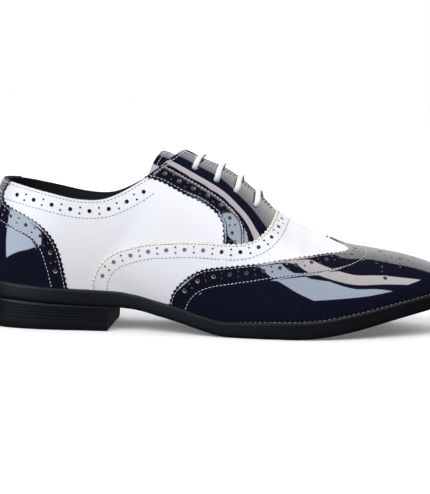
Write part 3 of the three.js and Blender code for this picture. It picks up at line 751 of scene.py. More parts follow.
class Lines:
    """Every seam and edge of the shoe, for the outer side (0) and the inner side (1)."""

    def __init__(self):
        sides = (False, True)
        self.cap = [seam(CAP_KNOTS, inner) for inner in sides]
        self.cap_row = [seam(CAP_ROW_KNOTS, inner) for inner in sides]
        self.vamp = [seam(VAMP_KNOTS, inner) for inner in sides]
        self.facing = [seam(FACING_KNOTS, inner, seated=False) for inner in sides]
        self.facing_row = [seam(FACING_ROW_KNOTS, inner, seated=False) for inner in sides]
        self.counter = [seam(COUNTER_KNOTS, inner) for inner in sides]
        self.counter_row = [seam(COUNTER_ROW_KNOTS, inner) for inner in sides]
        top = np.linspace(0, THROAT_TOP, 500)
        down = np.linspace(THROAT_TOP + 1e-4, THROAT_BOTTOM - 1e-4, 300)
        self.collar = [Run(top, climb_end(top)), Run(FULL_TURN - top, climb_end(FULL_TURN - top))]
        self.throat = [Run(down, climb_end(down)), Run(FULL_TURN - down, climb_end(FULL_TURN - down))]
        self.opening = [rounded(*pair) for pair in zip(self.collar, self.throat)]


def rounded(before, after, size=9.0):
    """Two runs that meet at a corner as one, with a quadratic curve round the corner."""
    start, corner, end = before.at(before.total - size), before.at(before.total), after.at(size)
    t = np.linspace(0, 1, 14)
    bend = [a * (1 - t) ** 2 + 2 * b * t * (1 - t) + c * t**2 for a, b, c in zip(start, corner, end)]
    first, last = before.part(0, before.total - size), after.part(size, after.total)
    return Run(*(np.concatenate(values) for values in zip((first.angle, first.climb), bend, (last.angle, last.climb))))


def nearest(points, line):
    """For each point, the distance to the closest of a line's points, and which one that is."""
    best = np.empty(len(points))
    which = np.empty(len(points), int)
    chunk = 1500
    for start in range(0, len(points), chunk):
        block = points[start : start + chunk]
        gaps = ((block[:, None, :] - line[None, :, :]) ** 2).sum(-1)
        which[start : start + chunk] = gaps.argmin(1)
        best[start : start + chunk] = np.sqrt(gaps.min(1))
    return best, which


def beside_line(angle, climb, run):
    """Signed distance in mm from a run, positive to its left as seen from outside."""
    points = rib(angle, climb)
    line = rib(run.angle, run.climb)
    distance, which = nearest(points, line)
    _, left, _ = run.ways(run.length)
    side = ((points - line[which]) * left[which]).sum(-1)
    return np.where(side < 0, -distance, distance)


def crossing(first, second):
    """Where two runs come closest: the length along each."""
    distance, which = nearest(rib(first.angle, first.climb), rib(second.angle, second.climb))
    i = int(distance.argmin())
    return first.length[i], second.length[which[i]]


def inside(points, polygon):
    """Which flat points lie in a closed polygon, by counting the edges that a ray crosses."""
    x, y = points[:, 0][:, None], points[:, 1][:, None]
    x0, y0 = polygon[:, 0], polygon[:, 1]
    x1, y1 = np.roll(x0, -1), np.roll(y0, -1)
    spans = (y0 > y) != (y1 > y)
    rise = np.where(y1 == y0, 1e-12, y1 - y0)
    return (spans & (x < (x1 - x0) * (y - y0) / rise + x0)).sum(1) % 2 == 1


# Making meshes


edge_y = BALL_WIDTH * ring["edge"](np.linspace(0, FULL_TURN, 720))
outsole_middle = (outsole_low.y + outsole_high.y) / 2 * MM
frame_shift = np.array([outsole_low.x * MM, outsole_middle - (edge_y.max() + edge_y.min()) / 2, 0.0])


def to_row(points):
    """Millimetres of the last's frame to metres of the row frame."""
    return (points + frame_shift) / MM


def make_piece(name, points, faces, materials, face_material=None, normals=None, fields=None):
    """A mesh object from points in mm and faces with any number of corners."""
    mesh = bpy.data.meshes.new(name)
    mesh.from_pydata(to_row(points).tolist(), [], faces if isinstance(faces, list) else faces.tolist())
    for material in materials:
        mesh.materials.append(material)
    mesh.polygons.foreach_set("use_smooth", np.ones(len(mesh.polygons), bool))
    if face_material is not None:
        mesh.polygons.foreach_set("material_index", np.asarray(face_material, np.int32))
    for key, values in (fields or {}).items():
        attribute = mesh.attributes.new(key, "FLOAT", "POINT")
        attribute.data.foreach_set("value", np.asarray(values, np.float32))
    if normals is not None:
        mesh.normals_split_custom_set(normals.tolist())
    mesh.update()
    piece = bpy.data.objects.new(name, mesh)
    bpy.context.scene.collection.objects.link(piece)
    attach(piece, BODY)
    return piece


def skin_grid(spacing):
    """Places all over the skin, about evenly apart: one from each cell of a grid in space."""
    angle, climb = np.meshgrid(
        np.linspace(0, FULL_TURN, 560, endpoint=False), np.linspace(0.004, 0.9995, 110), indexing="ij"
    )
    angle, climb = angle.ravel(), climb.ravel()
    cell = np.floor(rib(angle, climb) / spacing).astype(int)
    _, first = np.unique(cell, axis=0, return_index=True)
    return angle[first], climb[first]


def circles(angle, climb, radius, sides):
    """Round outlines on the skin about places, as arrays of (place, corner)."""
    round_way, _ = tangents(*folded(angle, climb))
    first = round_way / np.linalg.norm(round_way, axis=-1, keepdims=True)
    second = np.cross(skin_normal(angle, climb), first)
    turn = np.arange(sides) * FULL_TURN / sides
    u = steps_for(angle, climb, first)
    v = steps_for(angle, climb, second)
    wave, lean = np.cos(turn), np.sin(turn)
    radius = np.asarray(radius)[:, None]
    ring_angle = angle[:, None] + radius * (u[0][:, None] * wave + v[0][:, None] * lean)
    ring_climb = climb[:, None] + radius * (u[1][:, None] * wave + v[1][:, None] * lean)
    return ring_angle, ring_climb


class Cutter:
    """Cuts a leather panel's shape out of the skin; leather_panel gives it its thickness."""

    def __init__(self, spacing):
        self.grid = skin_grid(spacing)
        self.grid_flat = layout(*self.grid)
        self.grid_points = rib(*self.grid)
        self.clear = 0.42 * spacing

    def cut(self, outline, openings=(), punches=()):
        """Angles, climbs and triangles of a panel, with the loop number that each corner lies on."""
        loops = [outline, *openings]
        marks = [np.full(len(loop[0]), k) for k, loop in enumerate(loops)]
        next_mark = len(loops)
        for angles, climbs in punches:
            count, sides = angles.shape
            loops.extend(zip(angles, climbs))
            marks.extend(np.full(sides, next_mark + k) for k in range(count))
            next_mark += count
        rim_angle = np.concatenate([loop[0] for loop in loops])
        rim_climb = np.concatenate([loop[1] for loop in loops])
        rim_mark = np.concatenate(marks)
        starts = np.cumsum([0] + [len(loop[0]) for loop in loops])
        edges = []
        for start, end in zip(starts[:-1], starts[1:]):
            index = np.arange(start, end)
            edges.append(np.stack([index, np.roll(index, -1)], -1))
        edges = np.concatenate(edges)

        outline_flat = layout(*outline)
        opening_flat = [layout(*opening) for opening in openings]
        kept = inside(self.grid_flat, outline_flat)
        for polygon in opening_flat:
            kept &= ~inside(self.grid_flat, polygon)
        gap, _ = nearest(self.grid_points[kept], rib(rim_angle, rim_climb))
        place = np.flatnonzero(kept)[gap > self.clear]
        for angles, climbs in punches:
            rings = rib(angles, climbs)
            middle = rings.mean(1)
            radius = np.linalg.norm(rings - middle[:, None], axis=-1).max()
            gap, _ = nearest(self.grid_points[place], middle)
            place = place[gap > radius + 0.3]

        angle = np.concatenate([rim_angle, self.grid[0][place]])
        climb = np.concatenate([rim_climb, self.grid[1][place]])
        mark = np.concatenate([rim_mark, np.full(len(place), -1)])
        flat = layout(angle, climb)
        found = delaunay_2d_cdt(flat.tolist(), edges.tolist(), [], 0, 1e-7)
        source = np.array([origin[0] if origin else -1 for origin in found[3]])
        triangles = source[np.array(found[2])]
        triangles = triangles[(triangles >= 0).all(1)]
        middle = flat[triangles].mean(1)
        kept = inside(middle, outline_flat)
        for polygon in opening_flat:
            kept &= ~inside(middle, polygon)
        corner_marks = mark[triangles]
        in_punch = (corner_marks == corner_marks[:, :1]).all(1) & (corner_marks[:, 0] >= len(openings) + 1)
        triangles = triangles[kept & ~in_punch]
        points = rib(angle, climb)
        a, b, c = (points[triangles[:, k]] for k in range(3))
        facing_out = (np.cross(b - a, c - a) * skin_normal(angle, climb)[triangles[:, 0]]).sum(-1) > 0
        triangles = np.where(facing_out[:, None], triangles, triangles[:, ::-1])
        used, fresh = np.unique(triangles, return_inverse=True)
        return angle[used], climb[used], fresh.reshape(triangles.shape), mark[used]


def rim_edges(triangles):
    """The directed edges of a triangulation that only one triangle has."""
    edges = np.concatenate([triangles[:, [0, 1]], triangles[:, [1, 2]], triangles[:, [2, 0]]])
    size = triangles.max() + 1
    forward = edges[:, 0] * size + edges[:, 1]
    backward = edges[:, 1] * size + edges[:, 0]
    return edges[~np.isin(forward, backward)]


EDGE_SLOPE = 0.4
# How far the walls of holes slope, by the number of corners that a hole has
HOLE_SLOPE = {8: 0.06, 12: 0.27, 14: 0.12}


def leather_panel(
    name,
    shape,
    inner_lift,
    outer_lift,
    materials,
    fields=None,
    edge_marks=(0,),
    hidden=None,
    edge_slope=EDGE_SLOPE,
    tilt=None,
):
    """A closed slab of leather from a cut shape, between two distances from the skin.

    materials are those of the outside, the inside, the cut edges and the punched holes, then more. hidden
    gives for each corner the number of another one, for what lies under another panel, or 0: those
    more materials are painted shade, darker colours seen through the holes of the panel above. The
    cut edges slope: the outer rim is moved into the leather, across the skin's normal. tilt turns
    the shading towards the ridge.
    """
    angle, climb, triangles, mark = shape
    top = skin(angle, climb, outer_lift)
    bottom = skin(angle, climb, inner_lift)
    normal = creased_normal(angle, climb)
    count = len(angle)
    rim = rim_edges(triangles)
    punched = mark > max(edge_marks)
    way = np.cross(normal[rim[:, 0]], top[rim[:, 1]] - top[rim[:, 0]])
    inward = np.zeros_like(top)
    np.add.at(inward, rim[:, 0], way)
    np.add.at(inward, rim[:, 1], way)
    inward /= np.linalg.norm(inward, axis=-1, keepdims=True) + 1e-9
    corners = np.bincount(mark + 1)[mark + 1]
    hole_slope = np.select([corners == sides for sides in HOLE_SLOPE], list(HOLE_SLOPE.values()), 0.0)
    slope = np.where(climb < 0.002, 0, np.where(punched, hole_slope, edge_slope))
    top = top + inward * slope[:, None]
    walls = np.stack([rim[:, 1], rim[:, 0], rim[:, 0] + count, rim[:, 1] + count], -1)
    faces = triangles.tolist() + (triangles[:, ::-1] + count).tolist() + walls.tolist()
    points = np.concatenate([top, bottom])
    side = np.cross(points[walls[:, 1]] - points[walls[:, 0]], points[walls[:, 2]] - points[walls[:, 1]])
    side /= np.linalg.norm(side, axis=-1, keepdims=True) + 1e-12
    if tilt is not None:
        _, upward = tangents(angle, np.minimum(climb, 0.99))
        normal = normal + upward / np.linalg.norm(upward, axis=-1, keepdims=True) * tilt[:, None]
        normal /= np.linalg.norm(normal, axis=-1, keepdims=True)
    normals = np.concatenate(
        [
            normal[triangles].reshape(-1, 3),
            -normal[triangles[:, ::-1]].reshape(-1, 3),
            np.repeat(side, 4, axis=0),
        ]
    )
    under = np.zeros(len(angle), int) if hidden is None else hidden
    outside = under[triangles].max(1) * (under[triangles] > 0).all(1)
    slots = np.concatenate([outside, np.ones(len(triangles)), np.where(punched[rim[:, 0]], 3, 2)]).astype(int)
    doubled = {key: np.concatenate([values, values]) for key, values in (fields or {}).items()}
    return make_piece(name, points, faces, materials, slots, normals, doubled)


# Finishes


class Value:
    """A number in a node tree. Arithmetic on it adds Math nodes."""

    def __init__(self, finish, socket):
        self.finish, self.socket = finish, socket

    def math(self, operation, *others):
        places = {k: value for k, value in enumerate((self, *others))}
        return self.finish.node("ShaderNodeMath", {"operation": operation}, places)

    def __add__(self, other):
        return self.math("ADD", other)

    def __sub__(self, other):
        return self.math("SUBTRACT", other)

    def __mul__(self, other):
        return self.math("MULTIPLY", other)

    def __truediv__(self, other):
        return self.math("DIVIDE", other)

    def __rsub__(self, other):
        return self * -1 + other

    __radd__, __rmul__ = __add__, __mul__

    def bell(self, middle, width):
        """A soft bump of height 1 about a middle: exp(-((v - middle) / width)^2)."""
        off = (self - middle) / width
        return (off * off * -1).math("EXPONENT")

    def ramp(self, low, high):
        """0 below low and 1 above high, with a smooth step between."""
        settings = {"interpolation_type": "SMOOTHSTEP"}
        return self.finish.node("ShaderNodeMapRange", settings, {0: self, 1: low, 2: high, 3: 0.0, 4: 1.0})


class Finish:
    """The nodes of a material, or of the light all round."""

    def __init__(self, owner, shader="Principled BSDF", place="Object"):
        owner.use_nodes = True
        self.tree = owner.node_tree
        self.shader = self.tree.nodes[shader]
        self.place = self.node("ShaderNodeTexCoord", output=place)

    @classmethod
    def named(cls, name):
        return cls(bpy.data.materials.new(name))

    def node(self, kind, settings=None, sockets=None, output=0):
        """One node: its settings first, then the values or links of its sockets. Returns one output."""
        node = self.tree.nodes.new(kind)
        for key, value in (settings or {}).items():
            setattr(node, key, value)
        for key, value in (sockets or {}).items():
            self.feed(node.inputs[key], value)
        return Value(self, node.outputs[output])

    def feed(self, socket, value):
        if isinstance(value, Value):
            self.tree.links.new(value.socket, socket)
        else:
            socket.default_value = value

    def field(self, name):
        return self.node("ShaderNodeAttribute", {"attribute_name": name}, output="Fac")

    def noise(self, scale, detail=2.0, stretch=None):
        where = self.place
        if stretch is not None:
            where = self.node("ShaderNodeMapping", None, {0: self.place, 3: stretch})
        return self.node("ShaderNodeTexNoise", None, {"Vector": where, "Scale": scale, "Detail": detail})

    def mixed(self, factor, first, second):
        """A colour between two, each an (r, g, b) or a link."""
        colours = [(*c, 1.0) if isinstance(c, tuple) else c for c in (first, second)]
        sockets = {0: factor, 6: colours[0], 7: colours[1]}
        return self.node("ShaderNodeMix", {"data_type": "RGBA"}, sockets, output=2)

    def set(self, **sockets):
        for key, value in sockets.items():
            name = key.replace("_", " ").title().replace("Ior", "IOR")
            if isinstance(value, tuple) and len(value) == 3:
                value = (*value, 1.0)
            self.feed(self.shader.inputs[name], value)

    def relief(self, height_mm, strength=1.0):
        """A bump whose height is in millimetres."""
        sockets = {"Strength": strength, "Distance": 1 / MM, "Height": height_mm}
        self.feed(self.shader.inputs["Normal"], self.node("ShaderNodeBump", None, sockets))


def colour(name):
    return tuple(getattr(bpy.context.scene.shoe_colours, name))


# Distances of the stitch rows from the seams, mm
FIRST_STITCH = 2.1
HOLE_ROW = 5.5
COLLAR_STITCH = 2.0
COLLAR_HOLES = 7.3
COLLAR_ROW = 11.9


def patent(name):
    """Patent leather: a dark glossy film with a faint ripple, a raised strip and sunk stitch rows.

    The fields are mm: edge from the cut seam, row from the inner seam, positive on the strip.
    """
    f = Finish.named(name)
    edge, row = f.field("edge"), f.field("row")
    ripple = f.noise(38.0, 1.0) * 0.09 + f.noise(210.0, 1.0) * 0.006
    strip = row.ramp(-0.45, 0.35) * 0.22
    sunk = edge.bell(FIRST_STITCH, 0.55) * 0.07 + row.bell(-1.0, 0.6) * 0.06
    rolled = (1 - edge.ramp(-0.2, 0.9)) * 0.05
    f.relief(ripple + strip - sunk - rolled)
    worn = f.noise(90.0, 3.0).ramp(0.5, 0.8)
    navy = colour("navy")
    f.set(base_color=f.mixed(worn, navy, tuple(c * 1.3 for c in navy)))
    f.set(roughness=f.noise(60.0, 2.0) * 0.03 + 0.02)
    f.set(specular_ior_level=0.5)


def white_leather(name, row_at=None, tint="white"):
    """Smooth calf: a fine grain, soft gloss and sunk stitch rows along the seam."""
    f = Finish.named(name)
    edge, row = f.field("edge"), f.field("row")
    grain = f.noise(1500.0, 3.0) * 0.012 + f.noise(45.0, 2.0) * 0.1
    sunk = edge.bell(FIRST_STITCH, 0.5) * 0.08 + row.bell(0.0, 0.5) * 0.08
    f.relief(grain - sunk)
    base = colour(tint)
    shade = tuple(c * k for c, k in zip(base, (0.93, 0.94, 0.97)))
    f.set(base_color=f.mixed(f.noise(35.0, 3.0), base, shade))
    f.set(roughness=f.noise(500.0, 2.0) * 0.08 + 0.4)
    f.set(specular_ior_level=0.3)


def plain(name, base, roughness, grain_scale, grain_height, detail=3.0, gloss=0.3):
    """A surface of one colour that varies a little, with a fine grain."""
    f = Finish.named(name)
    f.relief(f.noise(grain_scale, detail) * grain_height)
    f.set(base_color=f.mixed(f.noise(grain_scale / 12, 2.0), base, tuple(c * 0.8 for c in base)))
    f.set(roughness=f.noise(grain_scale / 4, 2.0) * 0.12 + roughness - 0.06)
    f.set(specular_ior_level=gloss)


def finishes():
    """Every material of the shoe by name, made once."""
    if "cream_edge" not in bpy.data.materials:
        patent("patent_leather")
        white_leather("white_calf")
        plain("cream_edge", colour("cream"), 0.75, 900.0, 0.05)
        # Tan, darkened as painted shade: what shows in the vamp's holes, on their walls and on the quarters beneath.
        plain("tan_backing", colour("tan"), 0.8, 900.0, 0.05)
        # Painted shade: a near-black for the leather under the patent panels, so that their holes look deep and
        # shaded.
        plain("dark_backing", colour("shade"), 0.8, 900.0, 0.05)
        plain("inked_edge", colour("ink"), 0.6, 900.0, 0.04, gloss=0.08)
        plain("lining_leather", colour("lining"), 0.7, 1600.0, 0.06, gloss=0.2)
        plain("white_thread", colour("thread"), 0.55, 2600.0, 0.05)
        plain("grey_thread", colour("grey_thread"), 0.6, 2600.0, 0.05)
        lace_cotton()
        moulded_sole()
    return bpy.data.materials


def lace_cotton():
    """Flat braided cotton: the braid's slanting ribs follow the length and the turn of the cord."""
    f = Finish.named("white_cotton")
    along, turn = f.field("along"), f.field("turn")
    one = ((along * 4.2 + turn * 3.0).math("SINE")) * 0.5
    two = ((along * 4.2 - turn * 3.0).math("SINE")) * 0.5
    f.relief(one.math("MAXIMUM", two) * 0.12 + f.noise(2500.0, 2.0) * 0.04)
    white = colour("lace")
    f.set(base_color=f.mixed(f.noise(400.0, 2.0), white, tuple(c * 0.9 for c in white)))
    f.set(roughness=0.75)


def moulded_sole():
    """Black moulded rubber: half matte, with faint drawn lines along its side and a painted highlight, a lighter band
    near the top of its side.
    """
    f = Finish.named("moulded_rubber")
    height = f.field("height")
    drawn = f.noise(30.0, 4.0, (1.0, 1.0, 30.0))
    f.relief(f.noise(1400.0, 3.0) * 0.03 + drawn * 0.05)
    base = colour("sole")
    # Painted highlight: a lighter band along the top of the sole's side, at the welt's edge.
    light = height.bell(0.93, 0.06)
    f.set(base_color=f.mixed(light * 0.6 + drawn * 0.2, base, tuple(c * 2.2 for c in base)))
    f.set(roughness=f.noise(200.0, 2.0) * 0.12 + 0.36)
    f.set(specular_ior_level=0.09)


# Trim: pinked edges, punched holes and stitches


def pinked(run, depth, pitch, start=0.0, end=None):
    """A seam cut in teeth: every second place is moved inwards, to the line's left or right."""
    end = run.total if end is None else end
    count = max(2 * int(round((end - start) / pitch)), 2)
    place = np.linspace(start, end, count + 1)
    inward = np.where(np.arange(count + 1) % 2 == 1, depth, 0.0)
    return run.moved(inward, place)


def plain_edge(run, spacing=1.6):
    count = max(int(round(run.total / spacing)), 2)
    return run.at(np.linspace(0, run.total, count + 1))


def joined(*pieces):
    """One closed outline from stretches, with places that repeat at their ends left out."""
    angle = np.concatenate([piece[0] for piece in pieces])
    climb = np.concatenate([piece[1] for piece in pieces])
    points = rib(angle, climb)
    gap = np.linalg.norm(points - np.roll(points, 1, axis=0), axis=-1)
    kept = gap > 0.15
    return angle[kept], climb[kept]


def foot_line(start, end, spacing=2.2):
    """The panel's edge on the sole between two angles."""
    angle = np.linspace(start, end, max(int(abs(end - start) * SOLE_LENGTH / 2 / spacing), 4))
    return plain_edge(Run(angle, 0 * angle), spacing)


def hole_row(run, distance, pitch, start, count, pair_gap):
    """A brogued row beside a run: large holes an even pitch apart, with a pair of small ones between."""
    row = run.beside(distance)
    big_place = start + pitch * np.arange(count)
    big_place = big_place[big_place < row.total]
    small_place = big_place[:-1] + pitch / 2
    big = row.at(big_place)
    middle = rib(*row.at(small_place))
    small = []
    for half in (pair_gap / 2, -pair_gap / 2):
        angle, climb = row.moved(half, small_place)
        near = np.linalg.norm(rib(angle, climb) - middle, axis=-1) < pair_gap
        small.append((angle[near], climb[near]))
    return big, merged(*small)


def punch_out(big, small, trim):
    """Outlines of large and small holes."""
    rings = []
    for (angle, climb), radius, sides in ((big, trim.big_hole, 12), (small, trim.small_hole, 8)):
        if len(angle):
            rings.append(circles(angle, climb, np.full(len(angle), radius * MM / 2), sides))
    return rings


def merged(*places):
    return np.concatenate([p[0] for p in places]), np.concatenate([p[1] for p in places])


def stitch_mesh(rows, pitch, share, radius, blocks):
    """Stitches along rows: each is a short bead whose ends dive into the leather.

    rows are (run, lift). Along a stitch u goes from 0 to 1, its middle line stands radius * (2.2 *
    sin(pi u)^0.5 - 1.2) over the leather, and its section is an ellipse that narrows to the ends.
    """
    u = STITCH_PLACES
    blocks = list(blocks)
    for run, lift in rows:
        starts = np.arange(0.2, run.total - pitch * share, pitch)
        if not len(starts):
            continue
        place = (starts[:, None] + u * pitch * share).ravel()
        _, left, out = run.ways(place)
        angle, climb = run.at(place)
        lifts = lift(angle, climb) if callable(lift) else np.full(len(place), lift)
        base = skin(angle, climb, lifts)
        shape = (len(starts), len(u), 1, 3)
        blocks.append(stitch_rings(*(value.reshape(shape) for value in (base, left, out)), radius))
    return beads(np.concatenate(blocks))


STITCH_PLACES = np.array([0.0, 0.14, 0.5, 0.86, 1.0])


def stitch_rings(base, left, out, radius):
    """Rings of points round stitches. The arrays are (stitch, place along it, 1, 3)."""
    turn = np.arange(6) * FULL_TURN / 6
    hump = np.sqrt(np.sin(np.pi * STITCH_PLACES).clip(0))
    centre = base + out * ((2.0 * hump - 1.3) * radius)[None, :, None, None]
    girths = ((0.35 + 0.65 * hump) * radius)[None, :, None, None]
    wave, lean = np.cos(turn)[None, None, :, None], np.sin(turn)[None, None, :, None]
    return centre + girths * (1.05 * left * wave + 0.9 * out * lean)


def welt_stitches(radius, inset=1.9, pitch=3.1, share=0.72):
    """The stitches on the welt, round the whole sole."""
    fine = np.linspace(0, FULL_TURN, 4000)
    plan, _ = edge_point(fine, np.full_like(fine, -inset))
    length = np.concatenate([[0], np.cumsum(np.linalg.norm(np.diff(plan, axis=0), axis=-1))])
    starts = np.arange(0, length[-1] - pitch, pitch)
    place = (starts[:, None] + STITCH_PLACES * pitch * share).ravel()
    angle = np.interp(place, length, fine)
    plan, left = edge_point(angle, np.full_like(angle, -inset))
    base = np.concatenate([plan, sole_top(plan[:, 0])[:, None]], -1)
    left = np.concatenate([left, 0 * left[:, :1]], -1)
    out = np.broadcast_to([0.0, 0.0, 1.0], base.shape)
    shape = (len(starts), len(STITCH_PLACES), 1, 3)
    return stitch_rings(*(value.reshape(shape) for value in (base, left, out)), radius)


def beads(rings):
    """Closed tubes from rings of points, an array of (tube, ring, corner, 3)."""
    tubes, count, sides, _ = rings.shape
    base = (np.arange(tubes) * count * sides)[:, None, None]
    i, k = np.arange(count - 1)[None, :, None], np.arange(sides)[None, None, :]
    a, b = base + i * sides + k, base + i * sides + (k + 1) % sides
    quads = np.stack([a, b, b + sides, a + sides], -1).reshape(-1, 4)
    first = base[:, :, 0] + np.arange(sides)[None, :]
    last = first + (count - 1) * sides
    faces = quads.tolist() + first[:, ::-1].tolist() + last.tolist()
    return rings.reshape(-1, 3), faces


def sides_of(run_pair):
    return [(run_pair[0], 1.0), (run_pair[1], -1.0)]


# Lifts of the leather layers over the last, mm
QUARTER_WALL = 1.1
LINING_TOP = 1.15
FACING_LIFTS = (0.04, 0.8)
COUNTER_LIFTS = (0.04, 1.0)
VAMP_LIFTS = (0.05, 0.85)
CAP_LIFTS = (0.9, 1.75)
FACING_STEP = 0.8
VAMP_TUCK = 6.0


class Shoe:
    """What the panels share, worked out once: the seams, the cutter and the sizes of the trim."""

    kept = None

    def __init__(self):
        self.lines = Lines()
        self.trim = bpy.context.scene.shoe_trim
        self.cutter = Cutter(2.6)
        self.pitch = self.trim.pinking_pitch * MM
        self.depth = self.trim.pinking_depth * MM
        self.vamp_rise = self.vamp_over_facing
        self.facing_cut = {}

    @classmethod
    def now(cls):
        if cls.kept is None:
            cls.kept = cls()
        return cls.kept

    def vamp_over_facing(self, angle, climb):
        """How much the vamp is raised where the facings' ends lie under it."""
        rise = np.zeros(len(angle))
        outer = folded(angle, climb)[0] < np.pi
        for k, (facing, vamp) in enumerate(zip(self.lines.facing, self.lines.vamp)):
            mine = outer if k == 0 else ~outer
            if not mine.any():
                continue
            sign = -1 if k == 0 else 1
            over = sign * beside_line(angle[mine], climb[mine], facing)
            depth = -sign * beside_line(angle[mine], climb[mine], vamp)
            step = np.clip((over * -1 + 1.6) / 2.4, 0, 1)
            fade = np.clip((VAMP_TUCK + 3 - depth) / 3.5, 0, 1)
            rise[mine] = FACING_STEP * step * step * (3 - 2 * step) * fade * fade * (3 - 2 * fade)
        return rise


OUTWARD = (-1.0, 1.0)


def facing_outline(shoe, k):
    """A facing's outline: collar, throat, ridge under the vamp, the tucked end and the cut seam."""
    lines, sign = shoe.lines, OUTWARD[k]
    seam_run, collar = lines.facing[k], lines.collar[k]
    tuck = lines.vamp[k].beside(sign * VAMP_TUCK)
    on_seam, on_collar = crossing(seam_run, collar)
    seam_end, tuck_end = crossing(seam_run, tuck)
    ridge_end = tuck.angle[-1]
    bottom = THROAT_BOTTOM if k == 0 else FULL_TURN - THROAT_BOTTOM
    ridge = Run(np.linspace(bottom, ridge_end, 30), np.full(30, 0.994))
    back_tuck = tuck.part(tuck_end, tuck.total).reversed()
    _, visible_end = crossing(lines.vamp[k], seam_run)
    teeth = pinked(seam_run, -sign * shoe.depth, shoe.pitch, on_seam, seam_end)
    teeth = teeth[0][::-1], teeth[1][::-1]
    edge = lines.opening[k].part(on_collar, lines.opening[k].total)
    outline = joined(plain_edge(edge, 1.2), plain_edge(ridge), plain_edge(back_tuck), teeth)
    return outline, (on_seam, seam_end)


def eyelet_places(k):
    angle = np.array([angle_at_ridge(at) for at in EYELETS["at"]])
    return (angle if k == 0 else FULL_TURN - angle), EYELETS["climb"].copy()


def depth_inside(angle, climb, runs, sign):
    """How far places lie inside a panel, mm, from its seams on both sides. sign is +1 or -1 times OUTWARD."""
    outer = folded(angle, climb)[0] < np.pi
    depth = np.full(len(angle), -99.0)
    for k, way in enumerate(OUTWARD):
        mine = outer if k == 0 else ~outer
        if mine.any():
            depth[mine] = sign * way * beside_line(angle[mine], climb[mine], runs[k])
    return depth


def fields_for(shape, edge_runs, row_runs=()):
    """Distances in mm to the cut seams and, signed, to the inner seams: pairs of (run, sign)."""
    angle, climb = shape[0], shape[1]
    near = np.full(len(angle), 99.0)
    for run, _ in edge_runs:
        near = np.minimum(near, np.abs(beside_line(angle, climb, run)))
    row = np.full(len(angle), -99.0)
    best = np.full(len(angle), 99.0)
    for run, sign in row_runs:
        signed = sign * beside_line(angle, climb, run)
        closer = np.abs(signed) < best
        row = np.where(closer, signed, row)
        best = np.minimum(best, np.abs(signed))
    return {"edge": near, "row": row}


def opening_outline(lines):
    """The collar and the throat as one closed line."""
    outer, inner = (plain_edge(run, 1.2) for run in lines.opening)
    return joined(outer, (inner[0][::-1], inner[1][::-1]))


def build_quarters(shoe):
    """The white body of the upper and its black lining, round the whole last."""
    lines, trim = shoe.lines, shoe.trim
    outline = foot_line(0, FULL_TURN)
    opening = opening_outline(lines)
    eyelets = [circles(*eyelet_places(k), np.full(4, trim.eyelet_hole * MM / 2), 14) for k in (0, 1)]
    punches = list(eyelets)
    collar_rows = []
    for k, sign in enumerate(OUTWARD):
        collar = lines.collar[k]
        _, start = crossing(lines.counter[k], collar)
        _, end = crossing(lines.facing[k], collar)
        strip = collar.part(start, end)
        big, small = hole_row(strip, sign * COLLAR_HOLES, 12.35, 9.2, 30, 3.8)
        punches += punch_out(big, small, trim)
        collar_rows.append(strip)
    shape = shoe.cutter.cut(outline, [opening], punches)
    fields = fields_for(shape, [(run, 1) for run in lines.collar])
    m = finishes()
    place = shape[0], shape[1]
    # Painted shade: the quarters are painted near-black under the counter and the facings, and tan under the vamp,
    # where they show through the holes.
    under_navy = depth_inside(*place, lines.counter, -1) > 1.3
    under_navy |= depth_inside(*place, lines.facing, -1) > 1.3
    hidden = np.where(under_navy, 5, np.where(depth_inside(*place, lines.vamp, 1) > 1.3, 4, 0))
    names = ("white_calf", "lining_leather", "inked_edge", "lining_leather", "tan_backing", "dark_backing")
    materials = [m[key] for key in names]
    quarters = leather_panel("quarters", shape, -QUARTER_WALL, 0.0, materials, fields, (0, 1), hidden)
    lining_shape = shoe.cutter.cut(outline, [opening], eyelets)
    lining = leather_panel(
        "lining", lining_shape, -UPPER_WALL, -LINING_TOP, [m["lining_leather"]] * 4, None, edge_marks=(0, 1)
    )
    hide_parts("upper")
    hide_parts("upper")
    shoe.collar_strips = collar_rows


def front_outline(lines, runs, shoe, ridge_end=True):
    """A toe panel's outline: pinked seams on both sides and the foot line round the toe."""
    outer, inner = runs
    outer_teeth = pinked(outer, OUTWARD[0] * shoe.depth, shoe.pitch)
    inner_teeth = pinked(inner, OUTWARD[1] * shoe.depth, shoe.pitch)
    foot = foot_line(inner.angle[0], outer.angle[0])
    return joined(outer_teeth, (inner_teeth[0][::-1], inner_teeth[1][::-1]), foot)


def build_vamp(shoe):
    """The white vamp with its punched and pinked edge, which runs on under the cap to the toe."""
    lines, trim, m = shoe.lines, shoe.trim, finishes()
    punches = []
    for k, sign in enumerate(OUTWARD):
        big, small = hole_row(lines.vamp[k], sign * 5.9, 11.7, 9.6, 30, 3.5)
        punches += punch_out(big, small, trim)
    shape = shoe.cutter.cut(front_outline(lines, lines.vamp, shoe), (), punches)
    rows = [(run.beside(sign * 10.7), sign) for run, sign in zip(lines.vamp, OUTWARD)]
    fields = fields_for(shape, [(run, 1) for run in lines.vamp], rows)
    rise = shoe.vamp_over_facing(shape[0], shape[1])
    vamp = leather_panel(
        "vamp_panel",
        shape,
        VAMP_LIFTS[0] + rise,
        VAMP_LIFTS[1] + rise,
        [m["white_calf"], m["lining_leather"], m["cream_edge"], m["tan_backing"], m["dark_backing"]],
        fields,
        # Painted shade: the vamp's hole walls are tan, and under the cap the vamp is painted near-black, where it
        # shows through the cap's holes.
        hidden=np.where(depth_inside(shape[0], shape[1], lines.cap, 1) > 1.3, 4, 0),
        edge_slope=0.8,
    )
    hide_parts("vamp")


def cap_lift(angle, climb):
    """The cap's outside over the last, mm. Its peak on the ridge stands a little higher."""
    peak = np.array([0.735 * SOLE_LENGTH, ridge_side(0.735 * SOLE_LENGTH), ridge_height(0.735 * SOLE_LENGTH)])
    off = np.linalg.norm(rib(angle, climb) - peak, axis=-1) / 9
    return CAP_LIFTS[1] + 0.7 * np.exp(-(off**2))


